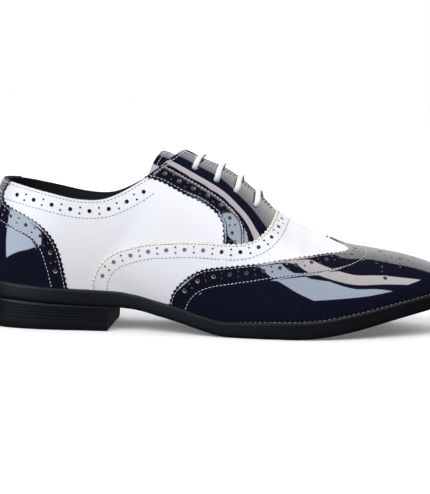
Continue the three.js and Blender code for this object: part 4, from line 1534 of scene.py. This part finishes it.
def build_wing_cap(shoe):
    """The navy wing cap: W-shaped, pinked, with a punched border and a medallion on the toe."""
    lines, trim, m = shoe.lines, shoe.trim, finishes()
    punches = []
    for k, sign in enumerate(OUTWARD):
        big, small = hole_row(lines.cap[k], sign * 5.8, 10.4, 12.3, 40, 3.3)
        punches += punch_out(big, small, trim)
        turned = (lambda a: a) if k == 0 else (lambda a: FULL_TURN - a)
        big = turned(np.radians(MEDALLION_BIG["degrees"])), MEDALLION_BIG["climb"].copy()
        small = turned(np.radians(MEDALLION_SMALL["degrees"])), MEDALLION_SMALL["climb"].copy()
        punches += punch_out(big, small, trim)
    shape = shoe.cutter.cut(front_outline(lines, lines.cap, shoe), (), punches)
    rows = [(run, -sign) for run, sign in zip(lines.cap_row, OUTWARD)]
    fields = fields_for(shape, [(run, 1) for run in lines.cap], rows)
    materials = [m["patent_leather"], m["lining_leather"], m["inked_edge"], m["cream_edge"]]
    lift = cap_lift(shape[0], shape[1])
    cap = leather_panel("wing_cap_panel", shape, CAP_LIFTS[0], lift, materials, fields)
    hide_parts("wing_cap")


def build_counter(shoe):
    """The navy heel counter, from one side's seam round the heel to the other's, up to the collar."""
    lines, trim, m = shoe.lines, shoe.trim, finishes()
    punches = []
    ends = []
    for k, sign in enumerate(OUTWARD):
        counter, collar = lines.counter[k], lines.collar[k]
        top, on_collar = crossing(counter, collar)
        ends.append((top, on_collar))
        body = counter.part(0, top)
        big, small = hole_row(body, -sign * 5.7, 12.1, 11.4, 7, 3.3)
        punches += punch_out(big, small, trim)
    teeth = [
        pinked(lines.counter[k], -sign * shoe.depth, shoe.pitch, 0.0, ends[k][0])
        for k, sign in enumerate(OUTWARD)
    ]
    tops = [plain_edge(lines.collar[k].part(0, ends[k][1])) for k in (0, 1)]
    inner_foot = lines.counter[1].angle[0] - FULL_TURN
    foot = foot_line(inner_foot, lines.counter[0].angle[0])
    outline = joined(teeth[0], (tops[0][0][::-1], tops[0][1][::-1]), tops[1], (teeth[1][0][::-1], teeth[1][1][::-1]), foot)
    shape = shoe.cutter.cut(outline, (), punches)
    rows = [(run, sign) for run, sign in zip(lines.counter_row, OUTWARD)]
    fields = fields_for(shape, [(run, 1) for run in lines.counter], rows)
    materials = [m["patent_leather"], m["lining_leather"], m["inked_edge"], m["cream_edge"]]
    counter = leather_panel("counter_panel", shape, *COUNTER_LIFTS, materials, fields)
    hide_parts("heel_counter")


def build_facings(shoe):
    """The two navy facings with their eyelets and the punched strip along their lower edge."""
    lines, trim, m = shoe.lines, shoe.trim, finishes()
    for k, (sign, name) in enumerate(zip(OUTWARD, ("facing_outer", "facing_inner"))):
        outline, (start, end) = facing_outline(shoe, k)
        body = lines.facing[k].part(start, end)
        big, small = hole_row(body, -sign * 6.3, 10.3, 1.4, 9, 3.4)
        punches = punch_out(big, small, trim)
        eyelets = circles(*eyelet_places(k), np.full(4, trim.eyelet_hole * MM / 2), 14)
        shape = shoe.cutter.cut(outline, (), [eyelets, *punches])
        strip = lines.facing_row[k].beside(sign * 1.0)
        fields = fields_for(shape, [(lines.facing[k], 1), (lines.opening[k], 1)], [(strip, sign)])
        materials = [m["patent_leather"], m["lining_leather"], m["inked_edge"], m["cream_edge"]]
        tilt = 0.17 * np.clip((-fields["row"] - 3) / 7, 0, 1)
        facing = leather_panel(name + "_panel", shape, *FACING_LIFTS, materials, fields, tilt=tilt)
        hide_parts(name)


def build_stitches(shoe):
    """Every row of stitches: white on the navy, grey on the white leather."""
    lines, trim = shoe.lines, shoe.trim
    white, grey = [], []
    cap, counter, facing = cap_lift, COUNTER_LIFTS[1], FACING_LIFTS[1]

    def vamp_lift(angle, climb):
        return VAMP_LIFTS[1] + shoe.vamp_over_facing(angle, climb)

    for k, sign in enumerate(OUTWARD):
        first = lines.cap[k].beside(sign * FIRST_STITCH)
        foremost = first.length[np.abs(first.angle - np.pi).argmin()]
        white.append((first.part(0, foremost + 2.5), cap))
        white.append((lines.cap_row[k], cap))
        grey.append((lines.vamp[k].beside(sign * FIRST_STITCH), vamp_lift))
        grey.append((lines.vamp[k].beside(sign * 10.7), vamp_lift))
        top, on_collar = crossing(lines.counter[k], lines.collar[k])
        white.append((lines.counter[k].part(0, top).beside(-sign * FIRST_STITCH), counter))
        white.append((lines.counter_row[k], counter))
        white.append((lines.collar[k].part(0, on_collar).beside(sign * COLLAR_STITCH), counter))
        start, on_front = crossing(lines.facing[k], lines.collar[k])
        end, _ = crossing(lines.facing[k], lines.vamp[k])
        white.append((lines.facing[k].part(start, end).beside(-sign * FIRST_STITCH), facing))
        row = lines.facing_row[k]
        row_start, _ = crossing(row, lines.collar[k])
        row_end, _ = crossing(row, lines.vamp[k])
        white.append((row.part(row_start, row_end), facing))
        edge = lines.opening[k]
        white.append((edge.part(on_front, edge.total).beside(sign * 2.4), facing))
        strip = shoe.collar_strips[k]
        grey.append((strip.beside(sign * COLLAR_STITCH), 0.0))
        grey.append((strip.beside(sign * COLLAR_ROW), 0.0))
        across = np.linspace(0.02, 0.93, 60) * (-1, 1)[k]
        angle, climb, depth = tongue_place(np.full(60, 0.028), across)
        white.append((Run(angle, climb), -depth.mean()))
    m = finishes()
    pitch, share, radius = trim.stitch_pitch * MM, trim.stitch_share, trim.thread * MM / 2
    for name, rows, material, slot in (
        ("stitches_white", white, "white_thread", "white_lace"),
        ("stitches_grey", grey, "grey_thread", "white_leather"),
    ):
        extra = [welt_stitches(radius)] if name == "stitches_grey" else []
        points, faces = stitch_mesh(rows, pitch, share, radius, extra)
        piece = make_piece(name, points, faces, [m[material]])


def ring_solid(name, rings, materials, fields=None):
    """A closed solid lofted through rings of mirrored pairs, with ladders between the pairs at its ends."""
    count = rings.shape[1]
    layers = len(rings)
    i, k = np.meshgrid(np.arange(layers - 1), np.arange(count), indexing="ij")
    a, b = i * count + k, i * count + (k + 1) % count
    quads = np.stack([a, b, b + count, a + count], -1).reshape(-1, 4)
    half = count // 2
    j = np.arange(1, half)
    low = np.stack([j, j + 1, count - j - 1, count - j], -1)[:-1]
    tips = [[0, 1, count - 1], [half - 1, half, half + 1]]
    top = (layers - 1) * count
    faces = quads.tolist()
    faces += (low[:, ::-1]).tolist() + [tip[::-1] for tip in tips]
    faces += (low + top).tolist() + [[corner + top for corner in tip] for tip in tips]
    return make_piece(name, rings.reshape(-1, 3), faces, materials, None, None, fields)


SOLE_SIDE = columns(
    "up out",
    (0, -1.6),
    (0.02, -1.05),
    (0.06, -0.6),
    (0.12, -0.3),
    (0.3, -0.12),
    (0.55, -0.05),
    (0.8, 0.0),
    (0.9, 0.0),
    (0.955, -0.15),
    (0.985, -0.5),
    (1.0, -1.1),
    (1.0, -2.6),
    (1.0, -6.0),
)
HEEL_SIDE = columns(
    "up out",
    (0, -2.4),
    (0.03, -1.9),
    (0.08, -1.6),
    (0.2, -1.2),
    (0.35, -0.95),
    (0.9, -0.5),
    (0.98, -0.45),
    (1, -0.7),
)
HEEL_GROOVES = np.array([0.42, 0.55, 0.66, 0.765, 0.86])
GROOVE_STEPS = np.array([-0.024, -0.01, 0.01, 0.024])
GROOVE_DEPTH = np.array([0, 0.6, 0.6, 0])
HEEL_BREAST = (0.277, 0.2785)


def heel_side():
    """The heel's side from the floor up: its height share and how far out, cut in by each narrow groove."""
    cuts = (HEEL_GROOVES[:, None] + GROOVE_STEPS).ravel()
    up = np.concatenate([HEEL_SIDE["up"], cuts])
    out = np.interp(up, HEEL_SIDE["up"], HEEL_SIDE["out"])
    out[len(HEEL_SIDE["up"]) :] -= np.tile(GROOVE_DEPTH, len(HEEL_GROOVES))
    order = np.argsort(up)
    return up[order], out[order]


def pair_angles(half_count, end=np.pi):
    """Angles of a ring of mirrored pairs, from the heel's back outwards to an end angle."""
    outer = np.linspace(0, end, half_count + 1)
    stop = -1 if end == np.pi else None
    inner = FULL_TURN - outer[1:stop][::-1]
    return np.concatenate([outer, inner])


def build_sole(shoe):
    """The moulded sole with its welt, and the heel block with its five narrow grooves."""
    m = finishes()
    angle = pair_angles(220)
    rings, heights = [], []
    for up, out in zip(SOLE_SIDE["up"], SOLE_SIDE["out"]):
        plan, _ = edge_point(angle, np.full_like(angle, out * SIDE_RELIEF))
        low, high = sole_bottom(plan[:, 0]), sole_top(plan[:, 0])
        rings.append(np.concatenate([plan, (low + (high - low) * up)[:, None]], -1))
        heights.append(np.full(len(angle), up))
    rings = np.stack(rings)
    sole = ring_solid("sole_unit", rings, [m["moulded_rubber"]], {"height": np.concatenate(heights)})
    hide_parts("outsole")

    rings, heights = [], []
    half = 90
    for up, out in zip(*heel_side()):
        end = np.arccos(1 - 2 * np.interp(up, (0, 1), HEEL_BREAST))
        outer = np.linspace(0, end, half + 1)
        angle = np.concatenate([outer, FULL_TURN - outer[1:][::-1]])
        plan, _ = edge_point(angle, np.full_like(angle, out * SIDE_RELIEF))
        rings.append(np.concatenate([plan, (up * (sole_bottom(plan[:, 0]) - SEAT_GAP))[:, None]], -1))
        heights.append(np.full(len(angle), up * 0.5))
    rings = np.stack(rings)
    heel = heel_solid("heel_block", rings, [m["moulded_rubber"]], {"height": np.concatenate(heights)})
    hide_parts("heel")


def heel_solid(name, rings, materials, fields):
    """A closed solid through rings with an odd number of corners: the breast is its flat front."""
    layers, count = rings.shape[:2]
    i, k = np.meshgrid(np.arange(layers - 1), np.arange(count), indexing="ij")
    a, b = i * count + k, i * count + (k + 1) % count
    quads = np.stack([a, b, b + count, a + count], -1).reshape(-1, 4)
    j = np.arange(1, count // 2)
    low = np.stack([j, j + 1, count - j - 1, count - j], -1)
    top = (layers - 1) * count
    tip = [0, 1, count - 1]
    faces = quads.tolist() + low[:, ::-1].tolist() + [tip[::-1]]
    faces += (low + top).tolist() + [[corner + top for corner in tip]]
    piece = make_piece(name, rings.reshape(-1, 3), faces, materials, None, None, fields)
    mark_sharp(piece, 40)
    return piece


def mark_sharp(piece, degrees):
    """Sharp edges where two faces meet at more than an angle."""
    piece.data.set_sharp_from_angle(angle=np.radians(degrees))


def build_sock(shoe):
    """The black sock inside: a thin sheet on the insole, a little higher at its rim."""
    m = finishes()
    angle = pair_angles(120)
    inset = UPPER_WALL + 0.6
    rings = []
    for lift, more in ((0.3, 0.4), (0.5, 0), (1.6, 0), (2.3, 0.5), (2.5, 1.6), (2.2, 6.0)):
        plan, _ = edge_point(angle, -WELT_MARGIN * ring["margin"](angle) - inset - more)
        rings.append(np.concatenate([plan, (sole_top(plan[:, 0]) + lift)[:, None]], -1))
    sock = ring_solid("sock", np.stack(rings), [m["lining_leather"]])
    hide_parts("insole")


TONGUE_ROWS = columns(
    "at climb dive",
    (0.3945, 0.65, 1),
    (0.42, 0.62, 1),
    (0.47, 0.62, 1),
    (0.56, 0.64, 1),
    (0.605, 0.68, 1),
    (0.64, 0.72, 0),
    (0.655, 0.74, 0),
)
TONGUE_CORNER_AT = 0.0
TONGUE_DEPTH = 5.0


def tongue_place(along, across):
    """Angle, climb and depth of a place on the tongue. along 0..1 runs down it, across -1..1 over it."""
    start = TONGUE_ROWS["at"][0] + TONGUE_CORNER_AT * across**2
    at = start + (TONGUE_ROWS["at"][-1] - start) * along
    angles = np.linspace(0, np.pi, 2000)
    angle = np.interp(at, ring["ridge"](angles), angles)
    reach = np.interp(at, TONGUE_ROWS["at"], TONGUE_ROWS["climb"])
    dive = np.interp(at, TONGUE_ROWS["at"], TONGUE_ROWS["dive"])
    climb = 1 - np.abs(across) * (1 - reach)
    under_lining = UPPER_WALL + 0.3
    depth = under_lining + (TONGUE_DEPTH - under_lining) * dive
    return np.where(across > 0, FULL_TURN - angle, angle), climb, depth


def build_tongue(shoe):
    """The tongue: patent outside, lined inside. The stitch line across its free end is sewn with the other stitches.
    """
    m = finishes()
    long, wide = 90, 44
    along = np.linspace(0, 1, long + 1)
    across = np.sin(np.linspace(-np.pi / 2, np.pi / 2, wide + 1))
    along, across = np.meshgrid(along, across, indexing="ij")
    angle, climb, depth = tongue_place(along.ravel(), across.ravel())
    top = skin(angle, climb, -depth)
    bottom = skin(angle, climb, -depth - TONGUE_WALL)
    points = np.concatenate([top, bottom])
    rows, sides = along.shape
    i, j = np.meshgrid(np.arange(rows - 1), np.arange(sides - 1), indexing="ij")
    a = (i * sides + j).ravel()
    quads = np.stack([a, a + sides, a + sides + 1, a + 1], -1)
    layer = rows * sides
    loop = np.concatenate(
        [
            np.arange(sides),
            np.arange(1, rows) * sides + sides - 1,
            (rows - 1) * sides + np.arange(sides - 2, -1, -1),
            np.arange(rows - 2, 0, -1) * sides,
        ]
    )
    after = np.roll(loop, -1)
    walls = np.stack([loop, after, after + layer, loop + layer], -1)
    faces = quads.tolist() + (quads[:, ::-1] + layer).tolist() + walls.tolist()
    slots = np.concatenate([np.zeros(len(quads)), np.ones(len(quads)), np.full(len(walls), 2)])
    flat = {"edge": np.full(len(points), 9.0), "row": np.full(len(points), -9.0)}
    materials = [m["patent_leather"], m["lining_leather"], m["inked_edge"]]
    _, upward = tangents(angle, np.minimum(climb, 0.99))
    upward /= np.linalg.norm(upward, axis=-1, keepdims=True)
    normal = skin_normal(angle, climb)
    normal = normal + 0.2 * upward
    normal /= np.linalg.norm(normal, axis=-1, keepdims=True)
    side = np.cross(points[walls[:, 1]] - points[walls[:, 0]], points[walls[:, 2]] - points[walls[:, 1]])
    side /= np.linalg.norm(side, axis=-1, keepdims=True) + 1e-12
    corners = [normal[quads].reshape(-1, 3), -normal[quads[:, ::-1]].reshape(-1, 3), np.repeat(side, 4, axis=0)]
    piece = make_piece("tongue_leather", points, faces, materials, slots, np.concatenate(corners), flat)
    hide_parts("tongue")


LACE_WIDTH = 3.6
LACE_THICKNESS = 2.0
LACE_GAP = 0.35


def smooth_path(points, step):
    """A smooth line through points in space, resampled at an even step."""
    points = np.asarray(points, float)
    length = np.concatenate([[0], np.cumsum(np.linalg.norm(np.diff(points, axis=0), axis=-1))])
    fine = np.linspace(0, length[-1], 600)
    line = np.stack([hermite(fine, length, points[:, k], np.gradient(points[:, k], length)) for k in range(3)], -1)
    length = np.concatenate([[0], np.cumsum(np.linalg.norm(np.diff(line, axis=0), axis=-1))])
    count = max(int(length[-1] / step), 4)
    place = np.linspace(0, length[-1], count + 1)
    return np.stack([np.interp(place, length, line[:, k]) for k in range(3)], -1), place


def flat_cord(points, faces_out, step=0.7, sides=16):
    """A flat cord: a rounded oval section of half width w and half thickness h, |x/w|^2.6 + |y/h|^2.6 = 1."""
    line, place = smooth_path(np.concatenate([points, faces_out], -1)[:, :3], step)
    out = np.stack([np.interp(place / place[-1], np.linspace(0, 1, len(faces_out)), faces_out[:, k]) for k in range(3)], -1)
    along = np.gradient(line, axis=0)
    along /= np.linalg.norm(along, axis=-1, keepdims=True)
    out -= along * (out * along).sum(-1, keepdims=True)
    out /= np.linalg.norm(out, axis=-1, keepdims=True)
    across = np.cross(out, along)
    turn = np.arange(sides) * FULL_TURN / sides
    power = 2 / 2.6
    wide = LACE_WIDTH / 2 * np.sign(np.cos(turn)) * np.abs(np.cos(turn)) ** power
    high = LACE_THICKNESS / 2 * np.sign(np.sin(turn)) * np.abs(np.sin(turn)) ** power
    rings = line[:, None] + across[:, None] * wide[None, :, None] + out[:, None] * high[None, :, None]
    fields = np.repeat(place, sides), np.tile(turn, len(line))
    return rings, fields


def build_laces(shoe):
    """Straight lacing: four flat bars over the tongue and the runs that join them under the facings."""
    m = finishes()
    over = FACING_LIFTS[1] + LACE_GAP + LACE_THICKNESS / 2
    under = UPPER_WALL + 0.5 + LACE_THICKNESS / 2
    holes = [eyelet_places(k) for k in (0, 1)]
    cords = []
    for row in range(len(EYELETS["at"])):
        places, outs = [], []
        half = []
        for k in (0, 1):
            angle, climb = holes[k][0][row], holes[k][1][row]
            steps = np.array([0, 0, 0, 0.06, 0.16, 0.4, 0.7, 1.0])
            lifts = np.array([-under, -0.6, 0.35, over * 0.86, over, over, over, over])
            climbs = climb + (1 - climb) * steps
            angles = np.full(len(steps), angle)
            half.append((angles, climbs, lifts))
        angles = np.concatenate([half[0][0], half[1][0][-2::-1]])
        climbs = np.concatenate([half[0][1], half[1][1][-2::-1]])
        lifts = np.concatenate([half[0][2], half[1][2][-2::-1]])
        places = skin(angles, climbs, lifts)
        outs = skin_normal(angles, climbs)
        lean = np.cross(np.gradient(places, axis=0), [1.0, 0, 0])
        lean = np.where((lean * outs).sum(-1, keepdims=True) < 0, -lean, lean)
        lean /= np.linalg.norm(lean, axis=-1, keepdims=True)
        flip = np.ones(len(places))
        cords.append(flat_cord(places, np.cross([1.0, 0, 0], np.gradient(places, axis=0)) * flip[:, None]))
    for k, rows in ((1, (0, 1, 2)), (0, (0, 2))):
        for row in rows:
            steps = np.linspace(0, 1, 7)
            angles = np.interp(steps, [0, 1], holes[k][0][row : row + 2])
            climbs = np.interp(steps, [0, 1], holes[k][1][row : row + 2])
            cords.append(flat_cord(skin(angles, climbs, np.full(7, -under)), skin_normal(angles, climbs)))
    points, faces, along, turn = [], [], [], []
    base = 0
    for rings, (length, angle) in cords:
        verts, quads = beads(rings[None])
        points.append(verts)
        faces += [[corner + base for corner in face] for face in quads]
        along.append(length)
        turn.append(angle)
        base += len(verts)
    fields = {"along": np.concatenate(along), "turn": np.concatenate(turn)}
    lace = make_piece("lace_bars", np.concatenate(points), faces, [m["white_cotton"]], None, None, fields)
    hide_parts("lace")


# Floor, lights and camera

VIEW_TURN = 5.0
VIEW_RISE = 7.0
VIEW_ROLL = 0.6
VIEW_DISTANCE = 1.3
VIEW_LENS = 169.0
VIEW_AIM = Vector((0.00035, -0.000145, 0.060))
VIEW_SHIFT = (-2.6, -8.7)


def view_axes():
    """The camera's right, up and back directions from its turn, rise and roll."""
    turn, rise, roll = np.radians([VIEW_TURN, VIEW_RISE, VIEW_ROLL])
    back = np.array([np.sin(turn) * np.cos(rise), -np.cos(turn) * np.cos(rise), np.sin(rise)])
    right = np.array([np.cos(turn), np.sin(turn), 0.0])
    up = np.cross(back, right)
    across = right * np.cos(roll) + up * np.sin(roll)
    upward = -right * np.sin(roll) + up * np.cos(roll)
    return Vector(across), Vector(upward), Vector(back)


def build_camera():
    across, upward, back = view_axes()
    data = bpy.data.cameras.new("view")
    data.lens = VIEW_LENS
    data.sensor_fit = "HORIZONTAL"
    data.sensor_width = 36.0
    camera = bpy.data.objects.new("view", data)
    bpy.context.scene.collection.objects.link(camera)
    target = VIEW_AIM + across * (VIEW_SHIFT[0] / MM) + upward * (VIEW_SHIFT[1] / MM)
    turned = Matrix((across, upward, back)).transposed().to_4x4()
    camera.matrix_world = Matrix.Translation(target + back * VIEW_DISTANCE) @ turned
    bpy.context.scene.camera = camera


def soft_box(name, rise, side, size, roll, radiance, tone, distance=1.1, mirrored=True):
    """A rectangular soft box that faces the shoe, seen in the gloss or, if not mirrored, lighting the rest.

    Its place is a distance in a direction: rise is the angle from the front over the top to the
    back, and side the angle towards the toe. Its power is pi * radiance * area.
    """
    rise, side, roll = np.radians([rise, side, roll])
    back = Vector((np.sin(side), -np.cos(side) * np.cos(rise), np.cos(side) * np.sin(rise)))
    over = Vector((0.0, np.sin(rise), np.cos(rise)))
    level = over.cross(back)
    across = level * np.cos(roll) + over * np.sin(roll)
    data = bpy.data.lights.new(name, "AREA")
    data.shape = "RECTANGLE"
    data.size, data.size_y = size
    data.energy = np.pi * radiance * size[0] * size[1]
    data.color = tone
    light = bpy.data.objects.new(name, data)
    bpy.context.scene.collection.objects.link(light)
    turned = Matrix((across, back.cross(across), back)).transposed().to_4x4()
    light.matrix_world = Matrix.Translation(Vector((0.0, 0.0, 0.05)) + back * distance) @ turned
    light.visible_camera = False
    light.visible_glossy = mirrored
    light.visible_diffuse = not mirrored


def build_floor():
    """A pale level floor that throws no light back on the shoe, as over a dark table. It glows with painted light: a
    little by the shoe, which lightens the shoe's shadow, and fully far off.
    """
    near = np.array([0.0, 0.15, 0.3, 0.6, 1.0, 1.6, 2.6])
    across = np.concatenate([-near[:0:-1], near])
    deep = np.array([-0.46, -0.3, -0.15, 0.0, 0.15, 0.3, 0.6, 1.0, 1.8, 3.0])
    y, x = np.meshgrid(deep, across, indexing="ij")
    points = np.stack([x, y, 0 * x - 0.0002], -1).reshape(-1, 3)
    rows, sides = y.shape
    i, j = np.meshgrid(np.arange(rows - 1), np.arange(sides - 1), indexing="ij")
    a = (i * sides + j).ravel()
    faces = np.stack([a, a + 1, a + sides + 1, a + sides], -1)
    mesh = bpy.data.meshes.new("floor")
    mesh.from_pydata(points.tolist(), [], faces.tolist())
    f = Finish.named("pale_paper")
    pale = colour("floor")
    f.set(base_color=f.mixed(f.noise(3.0, 2.0), pale, tuple(c * 0.985 for c in pale)))
    f.set(roughness=0.75, specular_ior_level=0.2)
    # Painted light: the floor's glow, 0.3 of full by the shoe and full beyond 0.8 m.
    far = f.node("ShaderNodeVectorMath", {"operation": "LENGTH"}, {0: f.place}, output="Value").ramp(0.25, 0.8)
    f.set(emission_color=f.mixed(far, (0.3, 0.3, 0.3), (1.0, 1.0, 1.0)), emission_strength=0.45)
    mesh.materials.append(bpy.data.materials["pale_paper"])
    floor = bpy.data.objects.new("floor", mesh)
    bpy.context.scene.collection.objects.link(floor)
    floor.visible_glossy = floor.visible_diffuse = False


def build_surround():
    """The light all round: a sheet behind, brightest at 60 degrees up, and dim elsewhere. The camera sees white."""
    light = bpy.context.scene.shoe_light
    world = bpy.data.worlds.new("studio")
    f = Finish(world, "Background", "Generated")
    y = f.node("ShaderNodeSeparateXYZ", None, {0: f.place}, output=1)
    z = f.node("ShaderNodeSeparateXYZ", None, {0: f.place}, output=2)
    sheet = (y * 1.664 - z).ramp(-0.01, 0.01) * y.ramp(0.0, 0.02) * z.ramp(-0.02, 0.0)
    sheet = sheet * (z.ramp(0.0, 0.75) * 0.68 + 0.32)
    seen = f.node("ShaderNodeLightPath", output="Is Camera Ray")
    f.feed(f.shader.inputs["Strength"], seen + (1 - seen) * (sheet * light.sheet + light.dim))
    f.shader.inputs["Color"].default_value = (1.0, 1.0, 1.0, 1.0)
    bpy.context.scene.world = world


def build_stage():
    """A plain pale floor, a sheet behind, a strip overhead, two soft boxes in front and two fills."""
    build_camera()
    build_floor()
    build_surround()
    light = bpy.context.scene.shoe_light
    blue, pale = (0.73, 0.83, 1.0), (0.99, 0.99, 1.0)
    soft_box("toe_box_light", 43, 21, (0.62, 0.5), 40, light.front, blue)
    soft_box("heel_box_light", 18, -43, (0.66, 0.62), 0, light.side, blue)
    soft_box("overhead_strip", 79, 15, (1.15, 0.36), 0, light.strip, (1.0, 0.92, 0.95))
    soft_box("front_fill", 40, -14, (1.7, 0.9), 0, light.fill, pale, 1.6, mirrored=False)
    soft_box("top_fill", 84, 0, (1.6, 1.3), 0, light.top, pale, 1.4, mirrored=False)
    bpy.context.scene.view_settings.view_transform = "Standard"


# Sizes and colours that a user would change


class ShoeTrim(PropertyGroup):
    """Sizes of the shoe's trim."""

    pinking_pitch: FloatProperty(
        name="Pinking pitch", description="From tooth to tooth", default=0.0033, min=0.001, unit="LENGTH"
    )
    pinking_depth: FloatProperty(
        name="Pinking depth", description="How deep the teeth are cut", default=0.001, min=0.0, unit="LENGTH"
    )
    big_hole: FloatProperty(
        name="Large holes", description="Width of the large brogue holes", default=0.0022, min=0.0005, unit="LENGTH"
    )
    small_hole: FloatProperty(
        name="Small holes", description="Width of the small brogue holes", default=0.0013, min=0.0004, unit="LENGTH"
    )
    eyelet_hole: FloatProperty(
        name="Eyelet holes", description="Width of the lace holes", default=0.0042, min=0.002, unit="LENGTH"
    )
    stitch_pitch: FloatProperty(
        name="Stitch pitch", description="From stitch to stitch", default=0.0024, min=0.001, unit="LENGTH"
    )
    stitch_share: FloatProperty(
        name="Stitch share", description="Share of the pitch that thread shows", default=0.8, min=0.3, max=0.95
    )
    thread: FloatProperty(
        name="Thread width", description="Width of the sewing thread", default=0.0005, min=0.0002, unit="LENGTH"
    )


def tint(name, description, default):
    return FloatVectorProperty(
        name=name, description=description, default=default, size=3, min=0.0, max=1.0, subtype="COLOR"
    )


class ShoeColours(PropertyGroup):
    """Colours of the shoe and of the floor."""

    navy: tint("Patent", "The dark patent leather", (0.0035, 0.004, 0.014))
    white: tint("White leather", "The white calf", (0.73, 0.735, 0.755))
    cream: tint("Cut edge", "Cut edges and the walls of holes in the patent", (0.7, 0.67, 0.45))
    # Partly the tan of what shows in the holes and partly painted shade: it is darker than the leather there.
    tan: tint("Backing", "What shows in the punched holes", (0.24, 0.19, 0.13))
    # Painted shade at the bottom of the holes in the patent: near-black, not the colour of the leather beneath.
    shade: tint("Dark backing", "What shows in the holes of the patent", (0.03, 0.025, 0.018))
    ink: tint("Inked edge", "Edges dyed dark", (0.012, 0.01, 0.014))
    lining: tint("Lining", "The lining and the sock", (0.006, 0.006, 0.007))
    thread: tint("White thread", "Stitches on the patent", (0.62, 0.62, 0.65))
    grey_thread: tint("Grey thread", "Stitches on the white leather", (0.2, 0.21, 0.24))
    lace: tint("Lace", "The cotton lace", (0.68, 0.69, 0.72))
    sole: tint("Sole", "The rubber sole and heel", (0.006, 0.007, 0.009))
    floor: tint("Floor", "The floor and the wall behind", (0.86, 0.87, 0.88))


def glow(name, description, default):
    return FloatProperty(name=name, description=description, default=default, min=0.0)


class ShoeLight(PropertyGroup):
    """The studio light, as radiances in watts from a square metre into a unit of solid angle."""

    front: glow("Toe box", "Soft box in front of the toe", 11.5)
    side: glow("Heel box", "Soft box in front of the heel", 14.0)
    strip: glow("Overhead strip", "Narrow strip over the shoe", 11.0)
    fill: glow("Front fill", "Large box in front that lights the matt surfaces", 7.0)
    top: glow("Top fill", "Large box overhead that lights the matt surfaces", 0.9)
    sheet: glow("Sheet behind", "Bright sheet behind the shoe", 2.3)
    dim: glow("Dim surround", "All other directions", 0.08)


# Operators


class SHOE_OT_sole(Operator):
    """Make the sole with its welt, and the ribbed heel"""

    bl_idname = "shoe.sole"
    bl_label = "Sole and heel"

    def execute(self, context):
        build_sole(Shoe.now())
        return {"FINISHED"}


class SHOE_OT_sock(Operator):
    """Make the sock inside the shoe"""

    bl_idname = "shoe.sock"
    bl_label = "Sock"

    def execute(self, context):
        build_sock(Shoe.now())
        return {"FINISHED"}


class SHOE_OT_quarters(Operator):
    """Make the white quarters with their punched collar, and the black lining"""

    bl_idname = "shoe.quarters"
    bl_label = "Quarters and lining"

    def execute(self, context):
        build_quarters(Shoe.now())
        return {"FINISHED"}


class SHOE_OT_vamp(Operator):
    """Make the white vamp"""

    bl_idname = "shoe.vamp"
    bl_label = "Vamp"

    def execute(self, context):
        build_vamp(Shoe.now())
        return {"FINISHED"}


class SHOE_OT_wing_cap(Operator):
    """Make the winged toe cap with its medallion"""

    bl_idname = "shoe.wing_cap"
    bl_label = "Wing cap"

    def execute(self, context):
        build_wing_cap(Shoe.now())
        return {"FINISHED"}


class SHOE_OT_counter(Operator):
    """Make the heel counter"""

    bl_idname = "shoe.counter"
    bl_label = "Heel counter"

    def execute(self, context):
        build_counter(Shoe.now())
        return {"FINISHED"}


class SHOE_OT_facings(Operator):
    """Make the two facings with their lace holes"""

    bl_idname = "shoe.facings"
    bl_label = "Facings"

    def execute(self, context):
        build_facings(Shoe.now())
        return {"FINISHED"}


class SHOE_OT_tongue(Operator):
    """Make the tongue"""

    bl_idname = "shoe.tongue"
    bl_label = "Tongue"

    def execute(self, context):
        build_tongue(Shoe.now())
        return {"FINISHED"}


class SHOE_OT_laces(Operator):
    """Run the lace through its holes"""

    bl_idname = "shoe.laces"
    bl_label = "Laces"

    def execute(self, context):
        build_laces(Shoe.now())
        return {"FINISHED"}


class SHOE_OT_stitches(Operator):
    """Sew every seam"""

    bl_idname = "shoe.stitches"
    bl_label = "Stitches"

    def execute(self, context):
        build_stitches(Shoe.now())
        return {"FINISHED"}


class SHOE_OT_stage(Operator):
    """Set the floor, the lights and the camera"""

    bl_idname = "shoe.stage"
    bl_label = "Floor, lights and camera"

    def execute(self, context):
        build_stage()
        return {"FINISHED"}


OPERATORS = (
    SHOE_OT_stage,
    SHOE_OT_sole,
    SHOE_OT_sock,
    SHOE_OT_quarters,
    SHOE_OT_vamp,
    SHOE_OT_wing_cap,
    SHOE_OT_counter,
    SHOE_OT_facings,
    SHOE_OT_tongue,
    SHOE_OT_laces,
    SHOE_OT_stitches,
)


class SHOE_PT_panel(Panel):
    """The sidebar panel of the shoe"""

    bl_idname = "SHOE_PT_panel"
    bl_label = "Spectator Shoe"
    bl_space_type = "VIEW_3D"
    bl_region_type = "UI"
    bl_category = "Shoe"

    def draw(self, context):
        for operator in OPERATORS:
            self.layout.operator(operator.bl_idname)
        for group in (context.scene.shoe_trim, context.scene.shoe_colours, context.scene.shoe_light):
            box = self.layout.box()
            for key in group.__annotations__:
                box.prop(group, key)


GROUPS = {"shoe_trim": ShoeTrim, "shoe_colours": ShoeColours, "shoe_light": ShoeLight}


def register():
    for cls in (*GROUPS.values(), *OPERATORS, SHOE_PT_panel):
        bpy.utils.register_class(cls)
    for name, group in GROUPS.items():
        setattr(bpy.types.Scene, name, PointerProperty(type=group))


def unregister():
    for name in GROUPS:
        delattr(bpy.types.Scene, name)
    for cls in reversed((*GROUPS.values(), *OPERATORS, SHOE_PT_panel)):
        bpy.utils.unregister_class(cls)


def main():
    register()
    for operator in OPERATORS:
        getattr(bpy.ops.shoe, operator.bl_idname.split(".")[1])()


if __name__ == "__main__":
    main()
